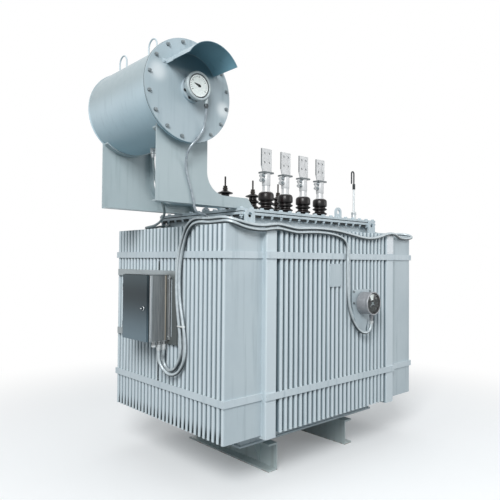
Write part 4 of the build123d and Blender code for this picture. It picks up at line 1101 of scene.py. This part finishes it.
thermoScale = {"lines": 19, "start": -45, "step": 15, "longEvery": 3, "long": (11, 1.3), "short": (6, 0.8),
               "edge": 58, "low": 1, "thick": 0.5, "handThick": 1, "handLow": 2, "hub": (20, 9, 3.2),
               "hands": [(turn, [(-14, -3), (5, -4), (reach, -1), (reach, 1), (5, 4), (-14, 3)])
                         for turn, reach in ((215, 36), (325, 32))]}


def makeThermometer():
    s = thermoSetup
    axis, face, front = [at(s["x"], s[key], s["z"]) @ faceFront for key in ("back", "face", "glassBack")]
    bm = bmesh.new()
    spinProfile(bm, thermoCase, s["steps"], axis)
    addGland(bm, thermoGland)
    softenEdges(bm, s["caseSoft"])
    finishPiece("thermometerCase", bm, housingGrey, ["thermometer_body"])
    bm = bmesh.new()
    spinProfile(bm, thermoBezel, s["steps"], axis)
    softenEdges(bm, s["bezelSoft"])
    finishPiece("thermometerBezel", bm, housingGrey)
    turnedPiece("thermometerSleeve", thermoSleeve, s["steps"], axis, blackPrint)
    turnedPiece("thermometerFace", thermoDisc, s["discSteps"], face, dialBlack)
    bm = bmesh.new()
    addScale(bm, thermoScale, face)
    finishPiece("thermometerScale", bm, zincPlate)
    bm = bmesh.new()
    start, end = s["sector"]
    (near, far), (low, high) = s["sectorBand"], s["sectorHigh"]
    section = [bm.verts.new(face @ turnedBy(start) @ Vector((r, 0, z)))
               for r, z in ((near, low), (far, low), (far, high), (near, high))]
    bmesh.ops.spin(bm, geom=[bm.faces.new(section)], cent=(s["x"], 0, s["z"]), axis=(0, -1, 0),
                   angle=math.radians(end - start), steps=s["sectorSteps"])
    finishPiece("thermometerSector", bm, whiteEnamel)   # pale sector on the dial, a painted reflection of the glass's bright spot
    turnedPiece("thermometerGlass", thermoWindow, s["discSteps"], front, glass,
                s["windowSmooth"])
    places = [at(s["x"] + side * s["boltOut"], s["boltFace"], z) @ faceFront
              for side in (-1, 1) for z in s["boltLevels"]]
    boltPiece("bracketBolts", smallBolt, s["boltEnd"], places, zincPlate)


makeThermometer()


# Rivets on the plates of the front side, and the tie round the two conduits

trimSetup = {"plates": ((-96, 35, 1205, 1359), (590, 670, 1436, 1576)), "face": -655.0, "inset": 9.0,
             "rivet": (3.2, 2.2, 1.6), "rivetSides": 12, "tie": (-990.0, -230.0, 967.0),
             "tieRadius": 15.5, "tieHigh": 6.0, "tieLong": 2.6, "tieSides": 28}


def makeSmallTrim():
    s = trimSetup
    bm = bmesh.new()
    wide, narrow, height = s["rivet"]
    for x0, x1, z0, z1 in s["plates"]:
        for x in (x0 + s["inset"], x1 - s["inset"]):
            for z in (z0 + s["inset"], z1 - s["inset"]):
                addPrism(bm, s["rivetSides"], wide, height, at(x, s["face"], z) @ faceFront, narrow)
    finishPiece("plateRivets", bm, zincPlate)
    bm = bmesh.new()
    oval = at(*s["tie"]) @ Matrix.Diagonal((1, s["tieLong"], 1, 1))
    addPrism(bm, s["tieSides"], s["tieRadius"], s["tieHigh"], oval)
    finishPiece("conduitTie", bm, tieNylon)


makeSmallTrim()
print("instruments and trim made")


# Finishes on the CAD nodes that stay

paintNodes = {"fin_bank_front": longFinPaint, "fin_bank_back": longFinPaint,
              "fin_bank_left": sideFinPaint, "fin_bank_right": sideFinPaint,
              "conservator_shell": drumPaint, "conservator_back_end": drumPaint,
              "conservator_cover": coverPaint, "support_front": supportPaint, "support_back": supportPaint,
              "cabinet_rails": railPaint, "braces_front": barPaint, "braces_back": barPaint,
              "braces_left": barPaint, "braces_right": barPaint, "skid_left": skidPaint,
              "skid_right": skidPaint, "base_bearers": skidPaint, "post_plate": plateSheet,
              "front_plate": paint}
cadFinishes = {"gasket_rubber": blackRubber, "stainless_sheet": stainless, "door_sheet": doorSheet,
               "gauge_casting": castGrey, "galvanised_pipe": galvanised, "blank_plate": plateSheet,
               "steel_conduit": conduitSkin}


def dressNodes():
    for name, node in nodes.items():
        if node.hide_render:
            continue
        for held in node.material_slots:
            key = held.material.name.split(".")[0] if held.material else ""
            held.material = paintNodes.get(name) or cadFinishes.get(key, paint)
        print("node", name, [m.material.name for m in node.material_slots])


dressNodes()


# Floor, world and lamps

stageSetup = {"floor": 14.0, "fadeStart": 1.6, "fadeEnd": 4.0, "floorColour": "#E9EBEC", "lift": 0.16,
              "bounceColour": "#8E9496", "worldColour": "#E9EDF0", "worldStrength": 0.42,
              "aim": (0, 0, 1.1)}
lampSetup = {"key": {"place": (-6.4, -5.0, 5.8), "size": 3.6, "power": 720.0},
             "top": {"place": (0.3, 0.2, 6.5), "size": 5.0, "power": 80.0},
             "side": {"place": (4.5, -5.0, 2.6), "size": 3.5, "power": 70.0}}


def seenDirectly(tree):
    # 1 for camera, glossy and transmission rays.
    path = addNode(tree, "ShaderNodeLightPath").outputs
    seen = path["Is Camera Ray"]
    for kind in ("Is Glossy Ray", "Is Transmission Ray"):
        seen = addNode(tree, "ShaderNodeMath", {"operation": "ADD", "use_clamp": True}, input0=seen,
                       input1=path[kind]).outputs[0]
    return seen


def makeStage():
    s = stageSetup
    bm = bmesh.new()
    bmesh.ops.create_grid(bm, x_segments=2, y_segments=2, size=s["floor"])
    mesh = bpy.data.meshes.new("studioFloor")
    bm.to_mesh(mesh)
    bm.free()
    floor = bpy.data.objects.new("studioFloor", mesh)
    bpy.context.scene.collection.objects.link(floor)
    material = bpy.data.materials.new("paleStudioFloor")
    material.use_nodes = True
    tree = material.node_tree
    tree.nodes.clear()
    place = addNode(tree, "ShaderNodeTexCoord").outputs["Object"]
    away = addNode(tree, "ShaderNodeVectorMath", {"operation": "LENGTH"}, input0=place).outputs["Value"]
    matt = addNode(tree, "ShaderNodeBsdfDiffuse", Color=s["floorColour"])
    lift = addNode(tree, "ShaderNodeEmission", Strength=s["lift"])
    near = addNode(tree, "ShaderNodeAddShader", input0=matt.outputs[0], input1=lift.outputs[0])
    white = addNode(tree, "ShaderNodeEmission", Strength=1.0)
    blended = addNode(tree, "ShaderNodeMixShader", Fac=maskOf(tree, (away, s["fadeStart"], s["fadeEnd"])),
                      input1=near.outputs[0], input2=white.outputs[0])
    bounce = addNode(tree, "ShaderNodeBsdfDiffuse", Color=s["bounceColour"])   # less light thrown up
    both = addNode(tree, "ShaderNodeMixShader", Fac=seenDirectly(tree), input1=bounce.outputs[0],
                   input2=blended.outputs[0])
    addNode(tree, "ShaderNodeOutputMaterial", Surface=both.outputs[0])
    mesh.materials.append(material)


def makeWorld():
    world = bpy.data.worlds.new("paleWorld")
    bpy.context.scene.world = world
    world.use_nodes = True
    tree = world.node_tree
    tree.nodes.clear()
    plain = addNode(tree, "ShaderNodeBackground", Color=stageSetup["worldColour"],
                    Strength=stageSetup["worldStrength"])
    white = addNode(tree, "ShaderNodeBackground", Color="#FFFFFF", Strength=1.0)
    both = addNode(tree, "ShaderNodeMixShader", Fac=seenDirectly(tree), input1=plain.outputs[0],
                   input2=white.outputs[0])
    addNode(tree, "ShaderNodeOutputWorld", Surface=both.outputs[0])


def makeLamps():
    for name, s in lampSetup.items():
        data = bpy.data.lights.new(name + "Lamp", "AREA")
        data.size = s["size"]
        data.energy = s["power"]
        lamp = bpy.data.objects.new(name + "Lamp", data)
        sight = Vector(stageSetup["aim"]) - Vector(s["place"])
        lamp.matrix_world = at(*s["place"]) @ sight.to_track_quat("-Z", "Y").to_matrix().to_4x4()
        bpy.context.scene.collection.objects.link(lamp)


makeStage()
makeWorld()
makeLamps()
bpy.context.scene.view_settings.view_transform = "Standard"
print("stage and lamps made")
